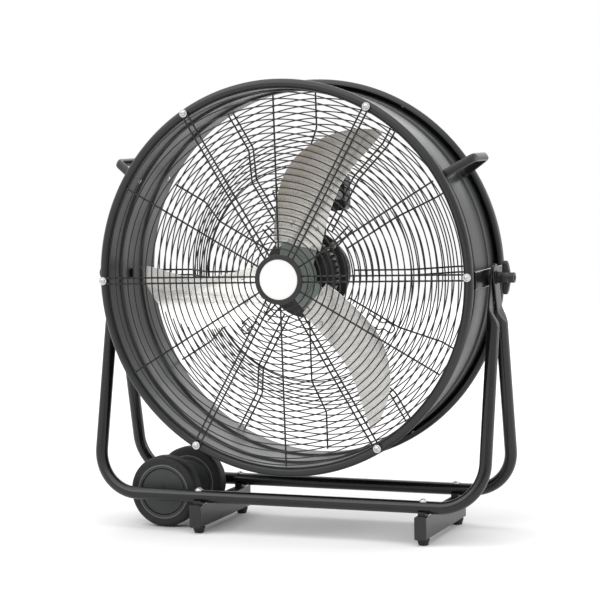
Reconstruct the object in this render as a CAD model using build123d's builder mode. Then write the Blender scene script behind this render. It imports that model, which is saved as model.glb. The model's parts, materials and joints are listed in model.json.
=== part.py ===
from build123d import *
import math
import os

os.makedirs("parts", exist_ok=True)

# Drum fan on a wheeled tilting stand. X points to the fan's right as seen from its air outlet,
# Y towards the air inlet at the back and Z up. The origin is on the floor under mid drum.
# All lengths are millimetres and all angles degrees.

# ------------------------------------------------------------------ driving dimensions

# Fits
RUNNING_FIT = 0.05  # radial clearance of a shaft that turns in its hole
BOLT_CLEARANCE = 0.3  # radial clearance of a bolt in a plain hole
SEAT_GAP = 0.1  # gap left between curved faces that rest on each other
SIDE_PLAY = 0.3  # gap beside a part that turns

# Drum shell
AXIS_HEIGHT = 451.0  # rotor axis and tilt pivot above the floor
DRUM_INNER_RADIUS = 328.0
DRUM_SHEET = 1.5
RIM_CURL_RADIUS = 8.5  # outside of the rolled rim
RIM_CURL_OFFSET = 95.0  # centre of the rolled rim from mid drum
SWAGE_OFFSET = 43.0  # stiffening groove from mid drum
SWAGE_WIDTH = 16.0
SWAGE_DEPTH = 4.0
SWAGE_SLOPE = 3.0

# Wire guards
GUARD_TURN = 1.2  # how far the guards sit round from level
GUARD_SECTORS = 6
SPOKE_WIRE = 3.2
RING_WIRE = 2.3
RING_WIRE_FLATS = 8  # the ring wire is drawn flat sided, which keeps the mesh of its many turns light
WELD_BITE = 0.3  # how far a ring wire is welded into a spoke wire
RING_PITCH = 11.7
FIRST_RING_RADIUS = 53.5
FRONT_RINGS = 24
HAIRPIN_GAP = 10.0  # between the wire centres of a double spoke
DISH_FLOOR = 35.0  # spoke plane of the sunk middle of the rear guard
DISH_FLOOR_RADIUS = 193.0
DISH_TOP_RADIUS = 258.0
DISH_BEND = 12.0
MOTOR_RING_RADIUS = 87.0
EAR_REACH = 116.0  # outer end of the four motor ears

# Guard fasteners
GUARD_SCREW_RADIUS = 2.3
GUARD_SCREW_LENGTH = 14.0
GUARD_SCREW_HEAD_RADIUS = 4.8
GUARD_SCREW_HEAD = 3.5
GUARD_WASHER_RADIUS = 7.0
GUARD_WASHER = 1.2

# Badge cup in the middle of the front guard
BADGE_RADIUS = 43.5
BADGE_DISC_RADIUS = 35.0
BADGE_DEPTH = 5.5
BADGE_FLOOR = 2.0
BADGE_DISC = 2.5
SPOKE_START_RADIUS = 36.0

# Carrying handles
HANDLE_ANGLE = 31.5
HANDLE_TURN = 0.5  # how far both handles sit round from level
HANDLE_REACH = 389.0  # grip centre line from the drum axis
HANDLE_FOOT_OFFSET = 63.0
HANDLE_GRIP_OFFSET = 38.0
HANDLE_BEND = 14.0
HANDLE_WIDTH = 15.0
HANDLE_THICKNESS = 10.0
HANDLE_SCREW_RADIUS = 2.5
HANDLE_SCREW_DEPTH = 12.0
HANDLE_SCREW_HEAD_RADIUS = 5.0
HANDLE_SCREW_HEAD = 3.0

# Tilt pivots
BRACKET_HEIGHT = 32.0
BRACKET_FACE = 346.0  # outer face of the bracket from mid drum
BRACKET_SHEET = 3.0
BRACKET_HALF_LENGTH = 86.0
BRACKET_BOSS = 34.0
PIVOT_BOLT_RADIUS = 6.0
PIVOT_BOLT_END = 385.0  # tip of the bolt from mid drum
PIVOT_HEAD_RADIUS = 10.0
PIVOT_HEAD = 6.0
PIVOT_WASHER_RADIUS = 14.0
PIVOT_WASHER = 4.0
CLAMP_WASHER_RADIUS = 12.0
CLAMP_WASHER = 1.5

# Locking knobs
KNOB_NECK_RADIUS = 9.8
KNOB_NECK = 9.0
KNOB_WING_SPAN = 58.0
KNOB_WING_WIDTH = 13.0
KNOB_WING = 10.0
KNOB_HUB_RADIUS = 12.0
KNOB_NOSE_RADIUS = 9.0
KNOB_LENGTH = 30.4

# Stand tubes
TUBE_RADIUS = 11.0
TUBE_WALL = 1.5
LEG_OFFSET = 358.5  # leg centre line from mid stand
RUN_OFFSET = 97.3  # floor run centre line from mid stand
RUN_HEIGHT = 64.4
CORNER_BEND = 78.0
TAB_WIDTH = 30.0
TAB_SHEET = 4.0
TAB_TOP = 9.0  # centre of the rounded end above the pivot
TAB_BEND_DROP = 52.0  # end of the flat part below the pivot
TAB_BEND_OFFSET = 18.0
NECK_DROP = 82.0  # start of the full tube below the pivot
NECK_OFFSET = 27.4

# Foot bars
BAR_WIDTH = 21.0
BAR_HEIGHT = 40.0
BAR_WALL = 1.5
BAR_HALF_LENGTH = 119.0  # to the outside of the end caps
BAR_CAP = 3.0
BAR_PLUG = 10.0
LEFT_BAR = -162.3
RIGHT_BAR = 253.3
FOOT_HEIGHT = 11.0
FOOT_OFFSET = 100.4
FOOT_TOP_RADIUS = 11.5
FOOT_TREAD_RADIUS = 8.0
FOOT_STEM_RADIUS = 4.0
FOOT_STEM = 6.0
SADDLE_WIDTH = 14.0
SADDLE_LENGTH = 24.0
SADDLE_RISE = 6.5
STAND_BOLT_RADIUS = 3.0
STAND_BOLT_HEAD_RADIUS = 6.0
STAND_BOLT_HEAD = 3.0
STAND_WASHER_RADIUS = 7.5
STAND_WASHER = 1.2
STAND_NUT_RADIUS = 5.5
STAND_NUT = 5.0

# Wheels
WHEEL_PLACE = -243.0
WHEEL_RADIUS = 63.7
WHEEL_WIDTH = 31.0
WHEEL_MIDDLE = 57.5  # wheel centre plane from mid stand
TYRE_INNER_RADIUS = 48.5
TYRE_EDGE = 7.0
AXLE_RADIUS = 6.0
SPACER_RADIUS = 8.5
WHEEL_CAP_RADIUS = 42.0
WHEEL_CAP = 2.0
WHEEL_CAP_SINK = 1.0
WHEEL_HUB_RADIUS = 14.0
WHEEL_WEB = 8.0

# Motor
MOTOR_RADIUS = 62.0
MOTOR_WALL = 3.0
MOTOR_FRONT = -2.0  # housing's front edge
MOTOR_BACK = 84.0
BELL_DEPTH = 10.0
BELL_STEP = 4.0
MOUNT_RING_RADIUS = 79.0
MOUNT_RING = 6.0
MOUNT_BOLT_RADIUS = 3.0
MOUNT_BOLT_CIRCLE = 72.0
MOUNT_BOLT_HEAD_RADIUS = 5.5
MOUNT_BOLT_HEAD = 4.0
MOUNT_NUT = 5.0
MOUNT_BOLTS = 4
BEARING_RADIUS = 17.5
BEARING_WIDTH = 10.0
STATOR_BORE_RADIUS = 30.5
AIR_GAP = 0.5
STATOR_LENGTH = 50.0
COIL_INNER_RADIUS = 36.0
COIL_OUTER_RADIUS = 52.0
COIL_LENGTH = 9.0
SHAFT_RADIUS = 7.0

# Fan rotor
BLADES = 3
BLADE_ANGLE = 75.0  # middle line of the first blade, from the fan's right
BLADE_PLANE = -43.0
BLADE_PITCH = 18.0
BLADE_CAMBER_RADIUS = 500.0
BLADE_SHEET = 2.0
BLADE_ROOT = 56.0
BLADE_TIP = 286.0
BLADE_TIP_SWEEP = 90.0  # how far the tip trails round from the middle line
BLADE_TIP_NOSE = 3.0
BLADE_ROOT_WIDTH = 72.0
BLADE_BULGE = 53.0  # trailing edge from the middle line at its fullest
ARM_SHEET = 3.0
ARM_WIDTH = 58.0
ARM_END = 99.0
HUB_RADIUS = 41.0
HUB_DEPTH = 26.0
HUB_NECK_RADIUS = 15.0
HUB_NECK = 10.0
SET_SCREW_RADIUS = 3.0
RIVET_RADIUS = 2.5
RIVET_HEAD_RADIUS = 4.5
RIVET_HEAD = 2.2
RIVET_CIRCLE = 76.0
RIVET_RISE = 34.0
RIVET_SPREAD = 42.0
RIVET_TAPER = 30.0

# Control box in the dish of the rear guard
BOX_CENTRE = 30.0  # to the fan's right of the drum axis
BOX_BASE = 112.0  # above the drum axis
BOX_WIDTH = 80.0
BOX_HEIGHT = 63.0
BOX_DEPTH = 28.0
BOX_WALL = 2.5
BOX_CORNER = 8.0
LID_THICKNESS = 3.0
LID_SCREW_INSET = 6.5
LID_SCREW_DEPTH = 12.0
SWITCH_RADIUS = 13.0
SWITCH_DEPTH = 20.0
SWITCH_STEM_RADIUS = 3.0
SWITCH_STEM = 13.0
SPEED_KNOB_RADIUS = 17.0
SPEED_KNOB_HEIGHT = 14.0
SPEED_KNOB_GAP = 1.0
CAPACITOR_RADIUS = 12.0
CAPACITOR_LENGTH = 38.0
GLAND_RADIUS = 9.0
GLAND_LENGTH = 16.0
GLAND_BORE_RADIUS = 4.2
GLAND_NECK_RADIUS = 6.0
LEAD_RADIUS = 4.0
LEAD_PLACE = 25.0
CLAMP_SCREW_RADIUS = 2.0
CLAMP_SCREW_ANGLES = (67.0, 84.0)  # the first disc lies just beside a double spoke
CLAMP_DISC_RADIUS = 8.0

# Cord hooks on the dish floor
HOOK_ANGLES = (112.0, 218.0, 325.0)
HOOK_WIRE = 2.6
HOOK_RISE = 30.0
HOOK_START_RADIUS = 134.0
HOOK_LENGTH = 28.0
HOOK_TURN = 18.0
HOOK_GAP = 15.0
HOOK_BEND = 6.0

# ------------------------------------------------------------------ worked-out sizes

DRUM_OUTER_RADIUS = DRUM_INNER_RADIUS + DRUM_SHEET
CURL_CENTRE_RADIUS = DRUM_INNER_RADIUS + RIM_CURL_RADIUS
RIM_FACE = RIM_CURL_OFFSET + RIM_CURL_RADIUS
SPOKE_PLANE = RIM_FACE + SPOKE_WIRE / 2
RING_STANDOFF = SPOKE_WIRE / 2 + RING_WIRE / 2 - WELD_BITE
GUARD_FACE = SPOKE_PLANE + SPOKE_WIRE / 2
LAST_RING_RADIUS = FIRST_RING_RADIUS + RING_PITCH * (FRONT_RINGS - 1)
SPOKE_END_RADIUS = LAST_RING_RADIUS + SPOKE_WIRE
DISH_BACK = DISH_FLOOR + RING_STANDOFF + RING_WIRE / 2  # rear side of the dish floor's rings
TAB_INNER_FACE = BRACKET_FACE + PIVOT_WASHER
BAR_TOP = FOOT_HEIGHT + BAR_HEIGHT
BLADE_STEP = 360 / BLADES
HUB_BACK = BLADE_PLANE + HUB_DEPTH / 2

DRUM_AXIS = Axis((0, 0, AXIS_HEIGHT), (0, 1, 0))
DRUM_SECTION = Plane.XY.offset(AXIS_HEIGHT)  # radius on X, distance along the drum on Y


# ------------------------------------------------------------------ helpers


def finish(piece, name):
    """Label a finished piece and write it out."""
    piece.part.label = name
    export_step(piece.part, f"parts/{name}.step")


def heading(angle):
    """Unit direction away from the drum axis at an angle from the fan's right."""
    return Vector(math.cos(math.radians(angle)), 0, math.sin(math.radians(angle)))


def across(y, angle=0.0):
    """Plane across the drum axis, seen from the outlet, with its X along a heading."""
    return Plane((0, y, AXIS_HEIGHT), x_dir=heading(angle), z_dir=(0, -1, 0))


def facing_out(angle, radius, y):
    """Plane that faces away from the drum axis, with its X towards the inlet."""
    origin = Vector(0, y, AXIS_HEIGHT) + heading(angle) * radius
    return Plane(origin, x_dir=(0, 1, 0), z_dir=heading(angle))


def off_axis(angle, radius, aside, y):
    """Point at a radius along a heading, moved aside from that radial line."""
    return Vector(0, y, AXIS_HEIGHT) + heading(angle) * radius + heading(angle + 90) * aside


def square_to(path):
    """Plane at the start of a path and square to it."""
    return Plane(path @ 0, z_dir=path % 0)


def upright(x, y, z):
    """Level plane at a point."""
    return Plane((x, y, z), x_dir=(1, 0, 0), z_dir=(0, 0, 1))


# ------------------------------------------------------------------ drum shell

HANDLE_ANGLES = (HANDLE_ANGLE + HANDLE_TURN, 180 - HANDLE_ANGLE + HANDLE_TURN)
PIVOT_ANGLES = (0.0, 180.0)

wall_radius = DRUM_INNER_RADIUS + DRUM_SHEET / 2
groove_radius = wall_radius - SWAGE_DEPTH
groove_near = SWAGE_OFFSET - SWAGE_WIDTH / 2
groove_far = SWAGE_OFFSET + SWAGE_WIDTH / 2

with BuildPart() as drum_shell:
    with BuildSketch(DRUM_SECTION):
        with BuildLine():
            wall_line = FilletPolyline(
                (wall_radius, 0),
                (wall_radius, groove_near - SWAGE_SLOPE),
                (groove_radius, groove_near),
                (groove_radius, groove_far),
                (wall_radius, groove_far + SWAGE_SLOPE),
                (wall_radius, RIM_CURL_OFFSET),
                radius=SWAGE_SLOPE,
            )
            CenterArc(
                (CURL_CENTRE_RADIUS, RIM_CURL_OFFSET),
                RIM_CURL_RADIUS - DRUM_SHEET / 2,
                start_angle=180,
                arc_size=-270,
            )
        trace(line_width=DRUM_SHEET)
        mirror(about=Plane.XZ)
    revolve(axis=DRUM_AXIS)
    # screw holes round both rims
    for side in (-1, 1):
        with BuildSketch(across(side * RIM_CURL_OFFSET)):
            with PolarLocations(CURL_CENTRE_RADIUS, GUARD_SECTORS, start_angle=GUARD_TURN):
                Circle(GUARD_SCREW_RADIUS + BOLT_CLEARANCE)
        extrude(amount=-side * (RIM_CURL_RADIUS + 1), mode=Mode.SUBTRACT)
    # handle screw and pivot bolt holes through the wall
    for angle in HANDLE_ANGLES:
        with BuildSketch(facing_out(angle, DRUM_INNER_RADIUS - DRUM_SHEET, 0)):
            with Locations((-HANDLE_FOOT_OFFSET, 0), (HANDLE_FOOT_OFFSET, 0)):
                Circle(HANDLE_SCREW_RADIUS + BOLT_CLEARANCE)
        extrude(amount=3 * DRUM_SHEET, mode=Mode.SUBTRACT)
    for angle in PIVOT_ANGLES:
        with BuildSketch(facing_out(angle, DRUM_INNER_RADIUS - DRUM_SHEET, 0)):
            Circle(PIVOT_BOLT_RADIUS + BOLT_CLEARANCE)
        extrude(amount=3 * DRUM_SHEET, mode=Mode.SUBTRACT)
finish(drum_shell, "drum_shell")

# ------------------------------------------------------------------ front guard

sector_angle = 360 / GUARD_SECTORS
double_angles = [GUARD_TURN + sector_angle * i for i in range(GUARD_SECTORS)]
single_angles = [angle + sector_angle / 2 for angle in double_angles]
# the rings' section lies between two spokes, radius on X and distance along the drum on Y
between_spokes = GUARD_TURN + sector_angle / 4
RING_SECTION = Plane(
    (0, 0, AXIS_HEIGHT), x_dir=heading(between_spokes), z_dir=heading(between_spokes + 90)
)
flat_turn = 180 / RING_WIRE_FLATS  # one flat of a ring wire lies on the spokes
front_rings = [
    (FIRST_RING_RADIUS + RING_PITCH * ring, -SPOKE_PLANE - RING_STANDOFF) for ring in range(FRONT_RINGS)
]

with BuildPart() as front_guard:
    for angle in double_angles:
        with BuildLine(across(-SPOKE_PLANE, angle)) as hairpin:
            Line((SPOKE_START_RADIUS, HAIRPIN_GAP / 2), (CURL_CENTRE_RADIUS, HAIRPIN_GAP / 2))
            CenterArc((CURL_CENTRE_RADIUS, 0), HAIRPIN_GAP / 2, start_angle=90, arc_size=-180)
            Line((CURL_CENTRE_RADIUS, -HAIRPIN_GAP / 2), (SPOKE_START_RADIUS, -HAIRPIN_GAP / 2))
        with BuildSketch(square_to(hairpin.wire())):
            Circle(SPOKE_WIRE / 2)
        sweep(path=hairpin.wire())
    for angle in single_angles:
        with BuildSketch(facing_out(angle, SPOKE_START_RADIUS, -SPOKE_PLANE)):
            Circle(SPOKE_WIRE / 2)
        extrude(amount=SPOKE_END_RADIUS - SPOKE_START_RADIUS)
    with BuildSketch(RING_SECTION):
        with Locations(*front_rings):
            RegularPolygon(RING_WIRE / 2, RING_WIRE_FLATS, major_radius=False, rotation=flat_turn)
    revolve(axis=DRUM_AXIS)
finish(front_guard, "front_guard")

# ------------------------------------------------------------------ rear guard

# The spokes run in from the rim, slope down into the dish and end at the motor ring.
dish_slope = Vector(
    DISH_TOP_RADIUS - DISH_FLOOR_RADIUS, SPOKE_PLANE - DISH_FLOOR
)
slope_step = dish_slope.normalized()
slope_standoff = Vector(-slope_step.Y, slope_step.X) * RING_STANDOFF
floor_rings = int((DISH_FLOOR_RADIUS - MOTOR_RING_RADIUS) / RING_PITCH) + 1
slope_rings = int((dish_slope.length - RING_PITCH) / RING_PITCH) + 1
slope_start = (dish_slope.length - RING_PITCH * (slope_rings - 1)) / 2
outer_rings = int((LAST_RING_RADIUS - DISH_TOP_RADIUS) / RING_PITCH) + 1
floor_places = [
    (MOTOR_RING_RADIUS + RING_PITCH * ring, DISH_FLOOR + RING_STANDOFF) for ring in range(floor_rings)
]
outer_places = [
    (LAST_RING_RADIUS - RING_PITCH * ring, SPOKE_PLANE + RING_STANDOFF) for ring in range(outer_rings)
]
slope_places = []
for ring in range(slope_rings):
    along = slope_step * (slope_start + RING_PITCH * ring) + slope_standoff
    slope_places.append((DISH_FLOOR_RADIUS + along.X, DISH_FLOOR + along.Y))


def spoke_line(angle, aside, end_radius):
    """Corner points of one rear spoke wire, from the motor ring outwards."""
    return [
        off_axis(angle, MOTOR_RING_RADIUS, aside, DISH_FLOOR),
        off_axis(angle, DISH_FLOOR_RADIUS, aside, DISH_FLOOR),
        off_axis(angle, DISH_TOP_RADIUS, aside, SPOKE_PLANE),
        off_axis(angle, end_radius, aside, SPOKE_PLANE),
    ]


with BuildPart() as rear_guard:
    for angle in double_angles:
        with BuildLine() as hairpin:
            near_wire = spoke_line(angle, -HAIRPIN_GAP / 2, CURL_CENTRE_RADIUS)
            far_wire = spoke_line(angle, HAIRPIN_GAP / 2, CURL_CENTRE_RADIUS)
            FilletPolyline(*near_wire, radius=DISH_BEND)
            ThreePointArc(
                near_wire[-1],
                off_axis(angle, CURL_CENTRE_RADIUS + HAIRPIN_GAP / 2, 0, SPOKE_PLANE),
                far_wire[-1],
            )
            FilletPolyline(*reversed(far_wire), radius=DISH_BEND)
        with BuildSketch(square_to(hairpin.wire())):
            Circle(SPOKE_WIRE / 2)
        sweep(path=hairpin.wire())
    for angle in single_angles:
        with BuildLine() as spoke:
            FilletPolyline(*spoke_line(angle, 0, SPOKE_END_RADIUS), radius=DISH_BEND)
        with BuildSketch(square_to(spoke.wire())):
            Circle(SPOKE_WIRE / 2)
        sweep(path=spoke.wire())
    # ears that take the motor bolts
    for ear in range(MOUNT_BOLTS):
        with BuildLine(across(DISH_FLOOR, 360 / MOUNT_BOLTS * (ear + 0.5))) as ear_wire:
            Line((EAR_REACH, HAIRPIN_GAP / 2), (MOUNT_BOLT_CIRCLE, HAIRPIN_GAP / 2))
            CenterArc((MOUNT_BOLT_CIRCLE, 0), HAIRPIN_GAP / 2, start_angle=90, arc_size=180)
            Line((MOUNT_BOLT_CIRCLE, -HAIRPIN_GAP / 2), (EAR_REACH, -HAIRPIN_GAP / 2))
        with BuildSketch(square_to(ear_wire.wire())):
            Circle(SPOKE_WIRE / 2)
        sweep(path=ear_wire.wire())
    with BuildSketch(RING_SECTION):
        with Locations(*floor_places, *slope_places, *outer_places):
            RegularPolygon(RING_WIRE / 2, RING_WIRE_FLATS, major_radius=False, rotation=flat_turn)
    revolve(axis=DRUM_AXIS)
finish(rear_guard, "rear_guard")

# ------------------------------------------------------------------ guard screws and washers

with BuildPart() as guard_screws:
    for side in (-1, 1):
        with BuildSketch(across(side * (GUARD_FACE + GUARD_WASHER))):
            with PolarLocations(CURL_CENTRE_RADIUS, GUARD_SECTORS, start_angle=GUARD_TURN):
                Circle(GUARD_SCREW_HEAD_RADIUS)
        extrude(amount=-side * GUARD_SCREW_HEAD)
    chamfer(
        guard_screws.faces().filter_by(Axis.Y).sort_by(Axis.Y)[:GUARD_SECTORS].edges()
        + guard_screws.faces().filter_by(Axis.Y).sort_by(Axis.Y)[-GUARD_SECTORS:].edges(),
        GUARD_SCREW_HEAD / 3,
    )
    for side in (-1, 1):
        with BuildSketch(across(side * (GUARD_FACE + GUARD_WASHER))):
            with PolarLocations(CURL_CENTRE_RADIUS, GUARD_SECTORS, start_angle=GUARD_TURN):
                Circle(GUARD_SCREW_RADIUS)
        extrude(amount=side * GUARD_SCREW_LENGTH)
finish(guard_screws, "guard_screws")

with BuildPart() as guard_washers:
    for side in (-1, 1):
        with BuildSketch(across(side * GUARD_FACE)):
            with PolarLocations(CURL_CENTRE_RADIUS, GUARD_SECTORS, start_angle=GUARD_TURN):
                Circle(GUARD_WASHER_RADIUS)
                Circle(GUARD_SCREW_RADIUS + BOLT_CLEARANCE, mode=Mode.SUBTRACT)
        extrude(amount=-side * GUARD_WASHER)
finish(guard_washers, "guard_washers")

# ------------------------------------------------------------------ badge cup

with BuildPart() as badge_ring:
    with BuildSketch(across(-GUARD_FACE)):
        Circle(BADGE_RADIUS)
    extrude(amount=BADGE_DEPTH)
    fillet(badge_ring.faces().sort_by(Axis.Y)[0].edges(), BADGE_FLOOR)
    with BuildSketch(across(-GUARD_FACE - BADGE_FLOOR)):
        Circle(BADGE_DISC_RADIUS + SEAT_GAP)
    extrude(amount=BADGE_DEPTH, mode=Mode.SUBTRACT)
finish(badge_ring, "badge_ring")

with BuildPart() as badge_disc:
    with BuildSketch(across(-GUARD_FACE - BADGE_FLOOR)):
        Circle(BADGE_DISC_RADIUS)
    extrude(amount=BADGE_DISC)
    fillet(badge_disc.faces().sort_by(Axis.Y)[0].edges(), BADGE_DISC / 3)
finish(badge_disc, "badge_disc")

# ------------------------------------------------------------------ carrying handles

foot_root = DRUM_OUTER_RADIUS - HANDLE_THICKNESS / 2
handle_drill = DRUM_OUTER_RADIUS + HANDLE_SCREW_DEPTH + 1

for handle_name, angle in zip(("right_handle", "left_handle"), HANDLE_ANGLES):
    with BuildPart() as handle:
        handle_plane = Plane((0, 0, AXIS_HEIGHT), x_dir=heading(angle), z_dir=heading(angle + 90))
        with BuildLine(handle_plane) as grip:
            FilletPolyline(
                (foot_root, -HANDLE_FOOT_OFFSET),
                (DRUM_OUTER_RADIUS + HANDLE_SCREW_DEPTH, -HANDLE_FOOT_OFFSET),
                (HANDLE_REACH, -HANDLE_GRIP_OFFSET),
                (HANDLE_REACH, HANDLE_GRIP_OFFSET),
                (DRUM_OUTER_RADIUS + HANDLE_SCREW_DEPTH, HANDLE_FOOT_OFFSET),
                (foot_root, HANDLE_FOOT_OFFSET),
                radius=HANDLE_BEND,
            )
        with BuildSketch(Plane(grip.wire() @ 0, x_dir=heading(angle + 90), z_dir=heading(angle))):
            Ellipse(HANDLE_WIDTH / 2, HANDLE_THICKNESS / 2)
        sweep(path=grip.wire())
        # feet follow the drum wall
        with BuildSketch(across(0)):
            Circle(DRUM_OUTER_RADIUS + SEAT_GAP)
        extrude(amount=2 * HANDLE_FOOT_OFFSET, both=True, mode=Mode.SUBTRACT)
        with BuildSketch(facing_out(angle, DRUM_INNER_RADIUS, 0)):
            with Locations((-HANDLE_FOOT_OFFSET, 0), (HANDLE_FOOT_OFFSET, 0)):
                Circle(HANDLE_SCREW_RADIUS + RUNNING_FIT)
        extrude(amount=handle_drill - DRUM_INNER_RADIUS, mode=Mode.SUBTRACT)
    finish(handle, handle_name)


def wall_seat(head_radius):
    """Radius at which a flat head just clears the inside of the drum wall."""
    return math.sqrt(DRUM_INNER_RADIUS**2 - head_radius**2) - SEAT_GAP


with BuildPart() as handle_screws:
    screw_seat = wall_seat(HANDLE_SCREW_HEAD_RADIUS)
    screw_sizes = (
        (HANDLE_SCREW_HEAD_RADIUS, -HANDLE_SCREW_HEAD),
        (HANDLE_SCREW_RADIUS, HANDLE_SCREW_DEPTH),
    )
    for angle in HANDLE_ANGLES:
        for size, length in screw_sizes:
            with BuildSketch(facing_out(angle, screw_seat, 0)):
                with Locations((-HANDLE_FOOT_OFFSET, 0), (HANDLE_FOOT_OFFSET, 0)):
                    Circle(size)
            extrude(amount=length)
finish(handle_screws, "handle_screws")

# ------------------------------------------------------------------ tilt pivots

bracket_root = DRUM_OUTER_RADIUS - BRACKET_SHEET

for bracket_name, angle in zip(("right_pivot_bracket", "left_pivot_bracket"), PIVOT_ANGLES):
    with BuildPart() as bracket:
        with BuildSketch(facing_out(angle, bracket_root, 0)):
            Rectangle(2 * BRACKET_HALF_LENGTH, BRACKET_HEIGHT)
        extrude(amount=BRACKET_FACE - bracket_root)
        fillet(bracket.edges().filter_by(Axis.Y).group_by(Axis.X)[0 if angle else -1], BRACKET_SHEET)
        # hollow channel, left solid round the pivot bolt
        with BuildSketch(facing_out(angle, bracket_root, 0)):
            Rectangle(2 * (BRACKET_HALF_LENGTH - BRACKET_SHEET), BRACKET_HEIGHT - 2 * BRACKET_SHEET)
            Rectangle(BRACKET_BOSS, BRACKET_HEIGHT, mode=Mode.SUBTRACT)
        extrude(amount=BRACKET_FACE - BRACKET_SHEET - bracket_root, mode=Mode.SUBTRACT)
        with BuildSketch(across(0)):
            Circle(DRUM_OUTER_RADIUS + SEAT_GAP)
        extrude(amount=2 * BRACKET_HALF_LENGTH, both=True, mode=Mode.SUBTRACT)
        with BuildSketch(facing_out(angle, bracket_root, 0)):
            Circle(PIVOT_BOLT_RADIUS + RUNNING_FIT)
        extrude(amount=BRACKET_FACE - bracket_root, mode=Mode.SUBTRACT)
    finish(bracket, bracket_name)

with BuildPart() as pivot_bolts:
    bolt_seat = wall_seat(PIVOT_HEAD_RADIUS)
    for angle in PIVOT_ANGLES:
        with BuildSketch(facing_out(angle, bolt_seat, 0)):
            RegularPolygon(PIVOT_HEAD_RADIUS, 6)
        extrude(amount=-PIVOT_HEAD)
        with BuildSketch(facing_out(angle, bolt_seat, 0)):
            Circle(PIVOT_BOLT_RADIUS)
        extrude(amount=PIVOT_BOLT_END - bolt_seat)
finish(pivot_bolts, "pivot_bolts")

with BuildPart() as pivot_washers:
    for angle in PIVOT_ANGLES:
        with BuildSketch(facing_out(angle, BRACKET_FACE, 0)):
            Circle(PIVOT_WASHER_RADIUS)
            Circle(PIVOT_BOLT_RADIUS + RUNNING_FIT, mode=Mode.SUBTRACT)
        extrude(amount=PIVOT_WASHER)
        with BuildSketch(facing_out(angle, TAB_INNER_FACE + 2 * TAB_SHEET, 0)):
            Circle(CLAMP_WASHER_RADIUS)
            Circle(PIVOT_BOLT_RADIUS + RUNNING_FIT, mode=Mode.SUBTRACT)
        extrude(amount=CLAMP_WASHER)
finish(pivot_washers, "pivot_washers")

# ------------------------------------------------------------------ locking knobs

knob_seat = TAB_INNER_FACE + 2 * TAB_SHEET + CLAMP_WASHER + SEAT_GAP
knob_bore = PIVOT_BOLT_END - knob_seat + SIDE_PLAY

for knob_name, angle in zip(("right_locking_knob", "left_locking_knob"), PIVOT_ANGLES):
    with BuildPart() as locking_knob:
        with BuildSketch(facing_out(angle, knob_seat + KNOB_NECK, 0)):
            SlotOverall(KNOB_WING_SPAN, KNOB_WING_WIDTH, rotation=90)
            Circle(KNOB_HUB_RADIUS)
        extrude(amount=KNOB_WING)
        fillet(
            locking_knob.faces().filter_by(Axis.X).sort_by(Axis.X)[0 if angle else -1].edges(),
            KNOB_WING / 4,
        )
        with BuildSketch(facing_out(angle, knob_seat, 0)):
            Circle(KNOB_NECK_RADIUS)
        extrude(amount=KNOB_NECK)
        with BuildSketch(facing_out(angle, knob_seat, 0)):
            Circle(KNOB_NOSE_RADIUS)
        extrude(amount=KNOB_LENGTH)
        fillet(
            locking_knob.faces().filter_by(Axis.X).sort_by(Axis.X)[0 if angle else -1].edges(),
            KNOB_WING / 4,
        )
        with BuildSketch(facing_out(angle, knob_seat, 0)):
            Circle(PIVOT_BOLT_RADIUS + RUNNING_FIT)
        extrude(amount=knob_bore, mode=Mode.SUBTRACT)
    finish(locking_knob, knob_name)

# ------------------------------------------------------------------ stand tubes

drop_to_run = AXIS_HEIGHT - RUN_HEIGHT
leg_lean = math.atan2(RUN_OFFSET - NECK_OFFSET, drop_to_run - NECK_DROP)
leg_length = math.hypot(RUN_OFFSET - NECK_OFFSET, drop_to_run - NECK_DROP)
tab_lean = math.degrees(math.atan2(TAB_BEND_OFFSET, TAB_BEND_DROP))
tab_length = math.hypot(TAB_BEND_OFFSET, TAB_BEND_DROP)
BAR_PLACES = (LEFT_BAR, RIGHT_BAR)

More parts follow.
